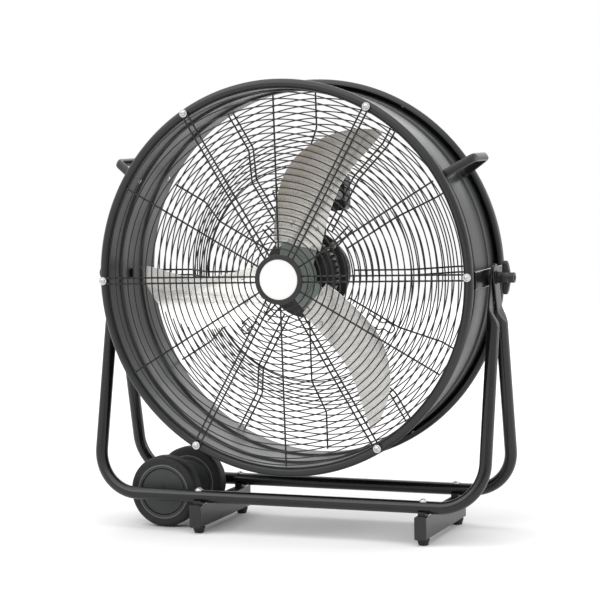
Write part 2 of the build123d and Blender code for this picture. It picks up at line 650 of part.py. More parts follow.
for tube_name, side, layer in (("front_frame_tube", -1, 0), ("rear_frame_tube", 1, 1)):
    tab_inside = TAB_INNER_FACE + TAB_SHEET * layer
    lean = side * math.sin(leg_lean)
    rise = math.cos(leg_lean)
    leg_plane = Plane((0, side * RUN_OFFSET, RUN_HEIGHT), x_dir=(1, 0, 0), z_dir=(0, -rise, -lean))
    with BuildPart() as frame_tube:
        # flattened end with the pivot hole
        with BuildSketch(Plane.YZ.offset(tab_inside)):
            with Locations(Location((0, AXIS_HEIGHT, 0), (0, 0, side * tab_lean))):
                with Locations((0, (TAB_TOP - tab_length) / 2)):
                    Rectangle(TAB_WIDTH, TAB_TOP + tab_length)
                with Locations((0, TAB_TOP)):
                    Circle(TAB_WIDTH / 2)
            with Locations((0, AXIS_HEIGHT)):
                Circle(PIVOT_BOLT_RADIUS + RUNNING_FIT, mode=Mode.SUBTRACT)
        extrude(amount=TAB_SHEET)
        # neck where the round tube is pressed flat
        tab_end = (tab_inside + TAB_SHEET / 2, side * TAB_BEND_OFFSET, AXIS_HEIGHT - TAB_BEND_DROP)
        tab_rise = (0, -side * TAB_BEND_OFFSET, TAB_BEND_DROP)
        with BuildSketch(Plane(tab_end, x_dir=(1, 0, 0), z_dir=tab_rise)):
            RectangleRounded(TAB_SHEET, TAB_WIDTH, TAB_SHEET / 2 - SEAT_GAP)
        neck_end = (LEG_OFFSET, side * NECK_OFFSET, AXIS_HEIGHT - NECK_DROP)
        with BuildSketch(Plane(neck_end, x_dir=(1, 0, 0), z_dir=(0, -lean, rise))):
            RectangleRounded(2 * TUBE_RADIUS, 2 * TUBE_RADIUS, TUBE_RADIUS - SEAT_GAP)
        loft()
        mirror(about=Plane.YZ)
        # both legs and the floor run, one bent tube
        with BuildLine(leg_plane) as tube_path:
            FilletPolyline(
                (LEG_OFFSET, leg_length),
                (LEG_OFFSET, 0),
                (-LEG_OFFSET, 0),
                (-LEG_OFFSET, leg_length),
                radius=CORNER_BEND,
            )
        with BuildSketch(square_to(tube_path.wire())):
            Circle(TUBE_RADIUS)
            Circle(TUBE_RADIUS - TUBE_WALL, mode=Mode.SUBTRACT)
        sweep(path=tube_path.wire())
        # axle hole in the inner wall, bolt holes down through the run
        axle_entry = (WHEEL_PLACE, side * RUN_OFFSET, RUN_HEIGHT)
        with BuildSketch(Plane(axle_entry, x_dir=(1, 0, 0), z_dir=(0, -side, 0))):
            Circle(AXLE_RADIUS + RUNNING_FIT)
        extrude(amount=2 * TUBE_RADIUS, mode=Mode.SUBTRACT)
        with BuildSketch(upright(0, side * RUN_OFFSET, RUN_HEIGHT)):
            with Locations((LEFT_BAR, 0), (RIGHT_BAR, 0)):
                Circle(STAND_BOLT_RADIUS + BOLT_CLEARANCE)
        extrude(amount=2 * TUBE_RADIUS, both=True, mode=Mode.SUBTRACT)
    finish(frame_tube, tube_name)

# ------------------------------------------------------------------ foot bars

for bar_name, place in (("left_foot_bar", LEFT_BAR), ("right_foot_bar", RIGHT_BAR)):
    with BuildPart() as foot_bar:
        bar_middle = (place, 0, FOOT_HEIGHT + BAR_HEIGHT / 2)
        with BuildSketch(Plane(bar_middle, x_dir=(1, 0, 0), z_dir=(0, 1, 0))):
            bar_outline = RectangleRounded(BAR_WIDTH, BAR_HEIGHT, 2 * BAR_WALL)
            offset(bar_outline, amount=-BAR_WALL, mode=Mode.SUBTRACT)
        extrude(amount=BAR_HALF_LENGTH - BAR_CAP, both=True)
        with BuildSketch(upright(place, 0, BAR_TOP)):
            with Locations((0, -RUN_OFFSET), (0, RUN_OFFSET)):
                Circle(STAND_BOLT_RADIUS + BOLT_CLEARANCE)
        extrude(amount=-2 * BAR_WALL, mode=Mode.SUBTRACT)
        with BuildSketch(upright(place, 0, FOOT_HEIGHT)):
            with Locations((0, -FOOT_OFFSET), (0, FOOT_OFFSET)):
                Circle(FOOT_STEM_RADIUS + RUNNING_FIT)
        extrude(amount=2 * BAR_WALL, mode=Mode.SUBTRACT)
    finish(foot_bar, bar_name)

with BuildPart() as foot_bar_caps:
    for place in BAR_PLACES:
        for side in (-1, 1):
            cap_face = (place, side * (BAR_HALF_LENGTH - BAR_CAP), FOOT_HEIGHT + BAR_HEIGHT / 2)
            with BuildSketch(Plane(cap_face, x_dir=(1, 0, 0), z_dir=(0, side, 0))):
                RectangleRounded(BAR_WIDTH, BAR_HEIGHT, 2 * BAR_WALL)
            extrude(amount=BAR_CAP)
            with BuildSketch(Plane(cap_face, x_dir=(1, 0, 0), z_dir=(0, side, 0))):
                RectangleRounded(
                    BAR_WIDTH - 2 * BAR_WALL - 2 * SEAT_GAP,
                    BAR_HEIGHT - 2 * BAR_WALL - 2 * SEAT_GAP,
                    BAR_WALL,
                )
            extrude(amount=-BAR_PLUG)
finish(foot_bar_caps, "foot_bar_caps")

with BuildPart() as rubber_feet:
    with BuildSketch(upright(0, 0, 0)):
        with Locations(*[(place, side * FOOT_OFFSET) for place in BAR_PLACES for side in (-1, 1)]):
            Circle(FOOT_TREAD_RADIUS)
    foot_taper = math.degrees(math.atan2(FOOT_TOP_RADIUS - FOOT_TREAD_RADIUS, FOOT_HEIGHT))
    extrude(amount=FOOT_HEIGHT, taper=-foot_taper)
    with BuildSketch(upright(0, 0, FOOT_HEIGHT)):
        with Locations(*[(place, side * FOOT_OFFSET) for place in BAR_PLACES for side in (-1, 1)]):
            Circle(FOOT_STEM_RADIUS)
    extrude(amount=FOOT_STEM)
finish(rubber_feet, "rubber_feet")

# ------------------------------------------------------------------ bolted joints of the stand

crossings = [(place, side * RUN_OFFSET) for place in BAR_PLACES for side in (-1, 1)]
tube_top = RUN_HEIGHT + TUBE_RADIUS
head_level = tube_top + STAND_WASHER


def clear_of_tubes():
    """Cut the two floor runs out of the open part, with a seating gap."""
    for side in (-1, 1):
        run_middle = (0, side * RUN_OFFSET, RUN_HEIGHT)
        with BuildSketch(Plane(run_middle, x_dir=(0, 1, 0), z_dir=(1, 0, 0))) as profile:
            Circle(TUBE_RADIUS + SEAT_GAP)
        extrude(profile.sketch, amount=LEG_OFFSET, both=True, mode=Mode.SUBTRACT)


with BuildPart() as tube_saddles:
    with BuildSketch(upright(0, 0, BAR_TOP)):
        with Locations(*crossings):
            Rectangle(SADDLE_WIDTH, SADDLE_LENGTH)
            Circle(STAND_BOLT_RADIUS + BOLT_CLEARANCE, mode=Mode.SUBTRACT)
    extrude(amount=SADDLE_RISE)
    clear_of_tubes()
finish(tube_saddles, "tube_saddles")

with BuildPart() as stand_washers:
    with BuildSketch(upright(0, 0, head_level)):
        with Locations(*crossings):
            Circle(STAND_WASHER_RADIUS)
            Circle(STAND_BOLT_RADIUS + BOLT_CLEARANCE, mode=Mode.SUBTRACT)
    extrude(amount=-2 * STAND_WASHER)
    clear_of_tubes()
finish(stand_washers, "stand_washers")

nut_level = BAR_TOP - BAR_WALL

with BuildPart() as stand_bolts:
    with BuildSketch(upright(0, 0, head_level)):
        with Locations(*crossings):
            Circle(STAND_BOLT_HEAD_RADIUS)
    extrude(amount=STAND_BOLT_HEAD)
    chamfer(stand_bolts.faces().filter_by(Axis.Z).group_by(Axis.Z)[-1].edges(), STAND_BOLT_HEAD / 3)
    with BuildSketch(upright(0, 0, head_level)):
        with Locations(*crossings):
            Circle(STAND_BOLT_RADIUS)
    extrude(amount=nut_level - STAND_NUT - 2 - head_level)
finish(stand_bolts, "stand_bolts")

with BuildPart() as stand_nuts:
    with BuildSketch(upright(0, 0, nut_level)):
        with Locations(*crossings):
            RegularPolygon(STAND_NUT_RADIUS, 6)
            Circle(STAND_BOLT_RADIUS + RUNNING_FIT, mode=Mode.SUBTRACT)
    extrude(amount=-STAND_NUT)
finish(stand_nuts, "stand_nuts")

# ------------------------------------------------------------------ axle and wheels

AXLE_AXIS = Axis((WHEEL_PLACE, 0, RUN_HEIGHT), (0, 1, 0))


def on_axle(y):
    """Plane across the wheel axle."""
    return Plane((WHEEL_PLACE, y, RUN_HEIGHT), x_dir=(1, 0, 0), z_dir=(0, 1, 0))


# radius on X from the axle, distance along the axle on Y
AXLE_SECTION = Plane((WHEEL_PLACE, 0, RUN_HEIGHT), x_dir=(1, 0, 0), z_dir=(0, 0, 1))

with BuildPart() as wheel_axle:
    with BuildSketch(on_axle(0)):
        Circle(AXLE_RADIUS)
    extrude(amount=RUN_OFFSET, both=True)
finish(wheel_axle, "wheel_axle")

wheel_inside = WHEEL_MIDDLE - WHEEL_WIDTH / 2 - SIDE_PLAY
wheel_outside = WHEEL_MIDDLE + WHEEL_WIDTH / 2 + SIDE_PLAY

with BuildPart() as axle_spacers:
    with BuildSketch(on_axle(0)):
        Circle(SPACER_RADIUS)
    extrude(amount=wheel_inside, both=True)
    for side in (-1, 1):
        with BuildSketch(on_axle(side * wheel_outside)):
            Circle(SPACER_RADIUS)
        extrude(amount=side * (RUN_OFFSET - wheel_outside))
    with BuildSketch(on_axle(0)):
        Circle(AXLE_RADIUS + RUNNING_FIT)
    extrude(amount=RUN_OFFSET, both=True, mode=Mode.SUBTRACT)
    clear_of_tubes()
finish(axle_spacers, "axle_spacers")

cap_seat = WHEEL_WIDTH / 2 - WHEEL_CAP_SINK - WHEEL_CAP

for wheel_name, side in (("front_wheel", -1), ("rear_wheel", 1)):
    middle = side * WHEEL_MIDDLE
    with BuildPart() as tyre:
        with BuildSketch(AXLE_SECTION):
            with Locations(((WHEEL_RADIUS + TYRE_INNER_RADIUS) / 2, middle)):
                tread = Rectangle(WHEEL_RADIUS - TYRE_INNER_RADIUS, WHEEL_WIDTH)
            fillet(tread.vertices().group_by(Axis.X)[-1], TYRE_EDGE)
        revolve(axis=AXLE_AXIS)
    finish(tyre, f"{wheel_name}_tyre")

    with BuildPart() as core:
        with BuildSketch(AXLE_SECTION):
            with Locations((TYRE_INNER_RADIUS / 2, middle)):
                Rectangle(TYRE_INNER_RADIUS - 2 * SEAT_GAP, WHEEL_WEB)
            rim_width = TYRE_INNER_RADIUS - WHEEL_CAP_RADIUS
            with Locations((TYRE_INNER_RADIUS - SEAT_GAP - rim_width / 2, middle)):
                Rectangle(rim_width, WHEEL_WIDTH)
            with Locations((WHEEL_HUB_RADIUS / 2, middle)):
                Rectangle(WHEEL_HUB_RADIUS, 2 * cap_seat)
            with Locations((0, middle)):
                Rectangle(2 * (AXLE_RADIUS + RUNNING_FIT), WHEEL_WIDTH, mode=Mode.SUBTRACT)
        revolve(axis=AXLE_AXIS)
    finish(core, f"{wheel_name}_core")

    with BuildPart() as caps:
        for face in (-1, 1):
            with BuildSketch(on_axle(middle + face * cap_seat)):
                Circle(WHEEL_CAP_RADIUS - 2 * SEAT_GAP)
                Circle(AXLE_RADIUS + 2 * BOLT_CLEARANCE, mode=Mode.SUBTRACT)
            extrude(amount=face * WHEEL_CAP)
    finish(caps, f"{wheel_name}_caps")

# ------------------------------------------------------------------ motor


def ring_between(start, end, outer, inner):
    """Round ring about the drum axis between two places on it, added to the open part."""
    with BuildSketch(across(start)) as profile:
        Circle(outer)
        if inner:
            Circle(inner, mode=Mode.SUBTRACT)
    extrude(profile.sketch, amount=start - end)


with BuildPart() as motor_housing:
    ring_between(MOTOR_FRONT, MOTOR_BACK, MOTOR_RADIUS, MOTOR_RADIUS - MOTOR_WALL)
finish(motor_housing, "motor_housing")

with BuildPart() as motor_bells:
    for edge, side in ((MOTOR_FRONT, -1), (MOTOR_BACK, 1)):
        step = edge + side * (BELL_DEPTH - BELL_STEP)
        ring_between(min(edge, step), max(edge, step), MOTOR_RADIUS, 0)
        face = edge + side * BELL_DEPTH
        ring_between(min(step, face), max(step, face), MOTOR_RADIUS - BELL_STEP, 0)
        with BuildSketch(across(edge)):
            Circle(BEARING_RADIUS + SEAT_GAP)
        extrude(amount=-side * (BELL_DEPTH - MOTOR_WALL), mode=Mode.SUBTRACT)
        with BuildSketch(across(edge)):
            Circle(SHAFT_RADIUS + SIDE_PLAY)
        extrude(amount=-side * BELL_DEPTH, mode=Mode.SUBTRACT)
finish(motor_bells, "motor_bells")

bearing_depth = BELL_DEPTH - MOTOR_WALL

with BuildPart() as motor_bearings:
    for start in (MOTOR_FRONT - bearing_depth, MOTOR_BACK + bearing_depth - BEARING_WIDTH):
        ring_between(start, start + BEARING_WIDTH, BEARING_RADIUS, SHAFT_RADIUS + RUNNING_FIT)
finish(motor_bearings, "motor_bearings")

stator_middle = (MOTOR_FRONT + MOTOR_BACK) / 2
stator_front = stator_middle - STATOR_LENGTH / 2
stator_back = stator_middle + STATOR_LENGTH / 2

with BuildPart() as motor_stator:
    ring_between(stator_front, stator_back, MOTOR_RADIUS - MOTOR_WALL - SEAT_GAP, STATOR_BORE_RADIUS)
finish(motor_stator, "motor_stator")

with BuildPart() as motor_windings:
    ring_between(stator_front - COIL_LENGTH, stator_front, COIL_OUTER_RADIUS, COIL_INNER_RADIUS)
    ring_between(stator_back, stator_back + COIL_LENGTH, COIL_OUTER_RADIUS, COIL_INNER_RADIUS)
finish(motor_windings, "motor_windings")

mount_face = DISH_FLOOR - SPOKE_WIRE / 2  # front side of the ears
ear_back = DISH_FLOOR + SPOKE_WIRE / 2

with BuildPart() as motor_mount_ring:
    with BuildSketch(across(mount_face)):
        Circle(MOUNT_RING_RADIUS)
        Circle(MOTOR_RADIUS + SEAT_GAP, mode=Mode.SUBTRACT)
        with PolarLocations(MOUNT_BOLT_CIRCLE, MOUNT_BOLTS, start_angle=180 / MOUNT_BOLTS):
            Circle(MOUNT_BOLT_RADIUS + BOLT_CLEARANCE, mode=Mode.SUBTRACT)
    extrude(amount=MOUNT_RING)
finish(motor_mount_ring, "motor_mount_ring")

with BuildPart() as mount_bolts:
    with BuildSketch(across(mount_face - MOUNT_RING)):
        with PolarLocations(MOUNT_BOLT_CIRCLE, MOUNT_BOLTS, start_angle=180 / MOUNT_BOLTS):
            RegularPolygon(MOUNT_BOLT_HEAD_RADIUS, 6)
    extrude(amount=MOUNT_BOLT_HEAD)
    with BuildSketch(across(mount_face - MOUNT_RING)):
        with PolarLocations(MOUNT_BOLT_CIRCLE, MOUNT_BOLTS, start_angle=180 / MOUNT_BOLTS):
            Circle(MOUNT_BOLT_RADIUS)
    extrude(amount=-(MOUNT_RING + SPOKE_WIRE + GUARD_WASHER + MOUNT_NUT + 1))
finish(mount_bolts, "mount_bolts")

with BuildPart() as mount_nuts:
    # each nut carries its own flange over the ear wires
    with BuildSketch(across(ear_back)):
        with PolarLocations(MOUNT_BOLT_CIRCLE, MOUNT_BOLTS, start_angle=180 / MOUNT_BOLTS):
            Circle(GUARD_WASHER_RADIUS)
            Circle(MOUNT_BOLT_RADIUS + RUNNING_FIT, mode=Mode.SUBTRACT)
    extrude(amount=-GUARD_WASHER)
    with BuildSketch(across(ear_back + GUARD_WASHER)):
        with PolarLocations(MOUNT_BOLT_CIRCLE, MOUNT_BOLTS, start_angle=180 / MOUNT_BOLTS):
            RegularPolygon(MOUNT_BOLT_HEAD_RADIUS, 6)
            Circle(MOUNT_BOLT_RADIUS + RUNNING_FIT, mode=Mode.SUBTRACT)
    extrude(amount=-MOUNT_NUT)
finish(mount_nuts, "mount_nuts")

# ------------------------------------------------------------------ rotor

hub_front = BLADE_PLANE - HUB_DEPTH / 2

with BuildPart() as motor_shaft:
    ring_between(hub_front, MOTOR_BACK + bearing_depth, SHAFT_RADIUS, 0)
    chamfer(motor_shaft.faces().filter_by(Axis.Y).edges(), SHAFT_RADIUS / 8)
finish(motor_shaft, "motor_shaft")

with BuildPart() as motor_core:
    ring_between(stator_front, stator_back, STATOR_BORE_RADIUS - AIR_GAP, SHAFT_RADIUS + RUNNING_FIT)
finish(motor_core, "motor_core")


def blade_section(angle, distance):
    """Plane across a blade, with X clockwise as seen from the outlet and Y to the inlet."""
    origin = Vector(0, BLADE_PLANE, AXIS_HEIGHT) + heading(angle) * distance
    return Plane(origin, x_dir=heading(angle - 90), z_dir=heading(angle))


# The sheet is rolled about this line beside the blade's middle line.
camber_centre = Vector(
    BLADE_CAMBER_RADIUS * math.sin(math.radians(BLADE_PITCH)),
    -BLADE_CAMBER_RADIUS * math.cos(math.radians(BLADE_PITCH)),
)
blade_inside = BLADE_CAMBER_RADIUS - RUNNING_FIT - BLADE_SHEET  # blades lie on the outlet side of the arms
rolled_reach = 120.0


def rolled_sheet(angle, start, end, inside, outside):
    """Part-round sheet between two radii of the camber, added to the open part."""
    with BuildSketch(blade_section(angle, start)) as profile:
        with Locations((camber_centre.X, camber_centre.Y)):
            Circle(outside)
            Circle(inside, mode=Mode.SUBTRACT)
        Rectangle(2 * rolled_reach, 2 * rolled_reach, mode=Mode.INTERSECT)
    extrude(profile.sketch, amount=end - start)


# Rivets stand square to the rolled sheets that they hold together.


def rivet_planes(angle):
    """Planes on the joint between arm and blade, one for each rivet, facing the inlet."""
    planes = []
    for out in (-RIVET_RISE / 2, RIVET_RISE / 2):
        for aside in (-RIVET_SPREAD / 2, RIVET_SPREAD / 2):
            sideways = aside - camber_centre.X
            backward = math.sqrt(BLADE_CAMBER_RADIUS**2 - sideways**2)
            joint = off_axis(angle, RIVET_CIRCLE + out, -aside, BLADE_PLANE + camber_centre.Y + backward)
            outward = heading(angle - 90) * sideways + Vector(0, backward, 0)
            planes.append(Plane(joint, x_dir=heading(angle), z_dir=outward))
    return planes


def drill_rivet_holes(angle):
    """Rivet holes through the open part."""
    for plane in rivet_planes(angle):
        with BuildSketch(plane) as profile:
            Circle(RIVET_RADIUS + BOLT_CLEARANCE)
        extrude(profile.sketch, amount=2 * ARM_SHEET, both=True, mode=Mode.SUBTRACT)


with BuildPart() as hub_spider:
    # arms rolled like the blades, then trimmed to shape
    for blade in range(BLADES):
        angle = BLADE_ANGLE + BLADE_STEP * blade
        rolled_sheet(angle, HUB_RADIUS / 2, ARM_END, BLADE_CAMBER_RADIUS, BLADE_CAMBER_RADIUS + ARM_SHEET)
    with BuildSketch(across(BLADE_PLANE - rolled_reach)):
        with PolarLocations(ARM_END / 2, BLADES, start_angle=BLADE_ANGLE):
            RectangleRounded(ARM_END, ARM_WIDTH, ARM_WIDTH / 5)
    extrude(amount=-2 * rolled_reach, mode=Mode.INTERSECT)
    ring_between(hub_front, hub_front + ARM_SHEET, HUB_RADIUS - ARM_SHEET, 0)
    ring_between(hub_front + ARM_SHEET, HUB_BACK, HUB_RADIUS, 0)
    ring_between(HUB_BACK, HUB_BACK + HUB_NECK, HUB_NECK_RADIUS, 0)
    with BuildSketch(across(hub_front)):
        Circle(SHAFT_RADIUS + RUNNING_FIT)
    extrude(amount=-(HUB_DEPTH + HUB_NECK), mode=Mode.SUBTRACT)
    # tapped hole for the set screw in the neck
    with BuildSketch(facing_out(BLADE_ANGLE, 0, HUB_BACK + HUB_NECK / 2)):
        Circle(SET_SCREW_RADIUS + RUNNING_FIT)
    extrude(amount=HUB_NECK_RADIUS, mode=Mode.SUBTRACT)
    for blade in range(BLADES):
        drill_rivet_holes(BLADE_ANGLE + BLADE_STEP * blade)
finish(hub_spider, "hub_spider")

with BuildPart() as hub_set_screw:
    with BuildSketch(facing_out(BLADE_ANGLE, SHAFT_RADIUS + RUNNING_FIT, HUB_BACK + HUB_NECK / 2)):
        Circle(SET_SCREW_RADIUS)
    extrude(amount=HUB_NECK_RADIUS - SHAFT_RADIUS)
finish(hub_set_screw, "hub_set_screw")

blade_length = BLADE_TIP - BLADE_ROOT

for blade in range(BLADES):
    angle = BLADE_ANGLE + BLADE_STEP * blade
    with BuildPart() as fan_blade:
        rolled_sheet(angle, BLADE_ROOT, BLADE_TIP + BLADE_ROOT, blade_inside, blade_inside + BLADE_SHEET)
        # outline seen along the axis, X out to the tip and Y against the clock
        with BuildSketch(across(BLADE_PLANE - rolled_reach, angle)):
            with BuildLine():
                trailing_edge = Spline(
                    (BLADE_ROOT, BLADE_BULGE * 0.8),
                    (BLADE_ROOT + 0.35 * blade_length, BLADE_BULGE),
                    (BLADE_ROOT + 0.60 * blade_length, BLADE_BULGE * 0.84),
                    (BLADE_ROOT + 0.80 * blade_length, BLADE_BULGE * 0.26),
                    (BLADE_ROOT + 0.93 * blade_length, -BLADE_BULGE * 0.52),
                    (BLADE_TIP, -BLADE_TIP_SWEEP),
                )
                leading_edge = Spline(
                    (BLADE_TIP - BLADE_TIP_NOSE, -BLADE_TIP_SWEEP - BLADE_TIP_NOSE),
                    (BLADE_ROOT + 0.77 * blade_length, -BLADE_TIP_SWEEP * 0.75),
                    (BLADE_ROOT + 0.62 * blade_length, -BLADE_TIP_SWEEP * 0.56),
                    (BLADE_ROOT + 0.38 * blade_length, -BLADE_TIP_SWEEP * 0.42),
                    (BLADE_ROOT, -BLADE_ROOT_WIDTH / 2),
                )
                Line(trailing_edge @ 1, leading_edge @ 0)
                Line(leading_edge @ 1, trailing_edge @ 0)
            make_face()
        extrude(amount=-2 * rolled_reach, mode=Mode.INTERSECT)
        drill_rivet_holes(angle)
    finish(fan_blade, f"fan_blade_{blade + 1}")

with BuildPart() as blade_rivets:
    for blade in range(BLADES):
        for plane in rivet_planes(BLADE_ANGLE + BLADE_STEP * blade):
            front_seat = plane.offset(-BLADE_SHEET - 2 * RUNNING_FIT)
            back_seat = plane.offset(ARM_SHEET + RUNNING_FIT)
            with BuildSketch(front_seat):
                Circle(RIVET_RADIUS)
            extrude(amount=ARM_SHEET + BLADE_SHEET + 3 * RUNNING_FIT)
            for seat, way in ((front_seat, -1), (back_seat, 1)):
                with BuildSketch(seat):
                    Circle(RIVET_HEAD_RADIUS)
                extrude(amount=way * RIVET_HEAD, taper=RIVET_TAPER)
finish(blade_rivets, "blade_rivets")

# ------------------------------------------------------------------ control box

box_front = DISH_BACK
box_back = box_front + BOX_DEPTH
box_middle = BOX_BASE + BOX_HEIGHT / 2
lid_back = box_back + LID_THICKNESS
switch_level = BOX_BASE + BOX_HEIGHT - BOX_WALL - SWITCH_RADIUS - 2
capacitor_level = BOX_BASE + BOX_WALL + CAPACITOR_RADIUS + 1
clamp_radius = MOTOR_RING_RADIUS + RING_PITCH * 5.5  # between two ring wires
clamp_face = DISH_FLOOR + RING_STANDOFF - RING_WIRE / 2  # front side of the ring wires
lid_screw_x = BOX_WIDTH - 2 * LID_SCREW_INSET
lid_screw_z = BOX_HEIGHT - 2 * LID_SCREW_INSET
gland_place = BOX_CENTRE - BOX_WIDTH / 4
entry_depth = (box_front + box_back) / 2


def beside(y, x, z):
    """Plane across the drum axis with its origin moved sideways and up from it."""
    return Plane((x, y, AXIS_HEIGHT + z), x_dir=(1, 0, 0), z_dir=(0, -1, 0))


def clamp_points():
    """Clamp screw places from the drum axis."""
    directions = [heading(angle) for angle in CLAMP_SCREW_ANGLES]
    return [(way.X * clamp_radius, way.Z * clamp_radius) for way in directions]


with BuildPart() as control_box:
    with BuildSketch(beside(box_front, BOX_CENTRE, box_middle)):
        RectangleRounded(BOX_WIDTH, BOX_HEIGHT, BOX_CORNER)
    extrude(amount=-BOX_DEPTH)
    with BuildSketch(beside(box_front + BOX_WALL, BOX_CENTRE, box_middle)):
        RectangleRounded(BOX_WIDTH - 2 * BOX_WALL, BOX_HEIGHT - 2 * BOX_WALL, BOX_CORNER - BOX_WALL)
        with GridLocations(lid_screw_x, lid_screw_z, 2, 2):
            Circle(LID_SCREW_INSET, mode=Mode.SUBTRACT)
    extrude(amount=-BOX_DEPTH, mode=Mode.SUBTRACT)
    with BuildSketch(beside(box_back, BOX_CENTRE, box_middle)):
        with GridLocations(lid_screw_x, lid_screw_z, 2, 2):
            Circle(CLAMP_SCREW_RADIUS + RUNNING_FIT)
    extrude(amount=LID_SCREW_DEPTH + 1, mode=Mode.SUBTRACT)
    with BuildSketch(across(box_front)):
        with Locations(*clamp_points()):
            Circle(CLAMP_SCREW_RADIUS + RUNNING_FIT)
    extrude(amount=-BOX_WALL, mode=Mode.SUBTRACT)
    # cord entry and motor lead entry in the bottom wall
    with BuildSketch(upright(0, entry_depth, AXIS_HEIGHT + BOX_BASE)):
        with Locations((gland_place, 0)):
            Circle(GLAND_NECK_RADIUS + BOLT_CLEARANCE)
        with Locations((LEAD_PLACE, 0)):
            Circle(LEAD_RADIUS + BOLT_CLEARANCE)
    extrude(amount=BOX_WALL, mode=Mode.SUBTRACT)
finish(control_box, "control_box")

with BuildPart() as control_box_lid:
    with BuildSketch(beside(box_back, BOX_CENTRE, box_middle)):
        RectangleRounded(BOX_WIDTH, BOX_HEIGHT, BOX_CORNER)
        with GridLocations(lid_screw_x, lid_screw_z, 2, 2):
            Circle(CLAMP_SCREW_RADIUS + BOLT_CLEARANCE, mode=Mode.SUBTRACT)
        with Locations((0, switch_level - box_middle)):
            Circle(SWITCH_STEM_RADIUS + BOLT_CLEARANCE, mode=Mode.SUBTRACT)
    extrude(amount=-LID_THICKNESS)
finish(control_box_lid, "control_box_lid")

with BuildPart() as box_screws:
    with BuildSketch(beside(lid_back, BOX_CENTRE, box_middle)):
        with GridLocations(lid_screw_x, lid_screw_z, 2, 2):
            Circle(2 * CLAMP_SCREW_RADIUS)
    extrude(amount=-CLAMP_SCREW_RADIUS)
    with BuildSketch(beside(lid_back, BOX_CENTRE, box_middle)):
        with GridLocations(lid_screw_x, lid_screw_z, 2, 2):
            Circle(CLAMP_SCREW_RADIUS)
    extrude(amount=LID_SCREW_DEPTH)
finish(box_screws, "box_screws")

with BuildPart() as clamp_screws:
    # wide flange over the ring wires, pan head and shank
    clamp_sizes = (
        (CLAMP_DISC_RADIUS, clamp_face, GUARD_WASHER),
        (2 * CLAMP_SCREW_RADIUS, clamp_face, GUARD_WASHER + CLAMP_SCREW_RADIUS),
        (CLAMP_SCREW_RADIUS, clamp_face, clamp_face - box_front - BOX_WALL),
    )
    for size, start, length in clamp_sizes:
        with BuildSketch(across(start)):
            with Locations(*clamp_points()):
                Circle(size)
        extrude(amount=length)
finish(clamp_screws, "clamp_screws")

with BuildPart() as speed_switch:
    with BuildSketch(beside(box_back, BOX_CENTRE, switch_level)):
        Circle(SWITCH_RADIUS)
    extrude(amount=SWITCH_DEPTH)
    with BuildSketch(beside(box_back, BOX_CENTRE, switch_level)):
        Circle(SWITCH_STEM_RADIUS)
    extrude(amount=-(LID_THICKNESS + SWITCH_STEM))
finish(speed_switch, "speed_switch")

with BuildPart() as run_capacitor:
    capacitor_start = (
        BOX_CENTRE - CAPACITOR_LENGTH / 2,
        box_front + BOX_WALL + CAPACITOR_RADIUS + SEAT_GAP,
        AXIS_HEIGHT + capacitor_level,
    )
    with BuildSketch(Plane(capacitor_start, x_dir=(0, 1, 0), z_dir=(1, 0, 0))):
        Circle(CAPACITOR_RADIUS)
    extrude(amount=CAPACITOR_LENGTH)
    fillet(run_capacitor.faces().filter_by(Axis.X).edges(), CAPACITOR_RADIUS / 8)
finish(run_capacitor, "run_capacitor")

with BuildPart() as cable_gland:
    with BuildSketch(upright(gland_place, entry_depth, AXIS_HEIGHT + BOX_BASE)):
        Circle(GLAND_RADIUS)
    extrude(amount=-GLAND_LENGTH)
    fillet(cable_gland.faces().sort_by(Axis.Z)[0].edges(), GLAND_RADIUS / 3)
    with BuildSketch(upright(gland_place, entry_depth, AXIS_HEIGHT + BOX_BASE)):
        Circle(GLAND_NECK_RADIUS)
    extrude(amount=1.2 * BOX_WALL)
    with BuildSketch(upright(gland_place, entry_depth, AXIS_HEIGHT + BOX_BASE)):
        Circle(GLAND_BORE_RADIUS)
    extrude(amount=GLAND_LENGTH, both=True, mode=Mode.SUBTRACT)
finish(cable_gland, "cable_gland")

with BuildPart() as motor_lead:
    with BuildSketch(upright(LEAD_PLACE, entry_depth, AXIS_HEIGHT + BOX_BASE + BOX_WALL)):
        Circle(LEAD_RADIUS)
    extrude(amount=-(BOX_BASE + BOX_WALL - MOTOR_RADIUS / 2))
    with BuildSketch(across(MOTOR_BACK)):
        Circle(MOTOR_RADIUS + SEAT_GAP)
    extrude(amount=MOTOR_BACK, mode=Mode.SUBTRACT)
finish(motor_lead, "motor_lead")

with BuildPart() as speed_knob:
    with BuildSketch(beside(lid_back + SPEED_KNOB_GAP, BOX_CENTRE, switch_level)):
        Circle(SPEED_KNOB_RADIUS)
    extrude(amount=-SPEED_KNOB_HEIGHT / 2)
    with BuildSketch(beside(lid_back + SPEED_KNOB_GAP, BOX_CENTRE, switch_level)):
        SlotOverall(2 * SPEED_KNOB_RADIUS, SPEED_KNOB_HEIGHT / 2, rotation=90)
    extrude(amount=-SPEED_KNOB_HEIGHT)
    with BuildSketch(beside(lid_back + SPEED_KNOB_GAP, BOX_CENTRE, switch_level)):
        Circle(SWITCH_STEM_RADIUS + RUNNING_FIT)
    extrude(amount=-(SWITCH_STEM - SPEED_KNOB_GAP + SIDE_PLAY), mode=Mode.SUBTRACT)
finish(speed_knob, "speed_knob")

# ------------------------------------------------------------------ cord hooks

hook_base = DISH_BACK + HOOK_WIRE / 2

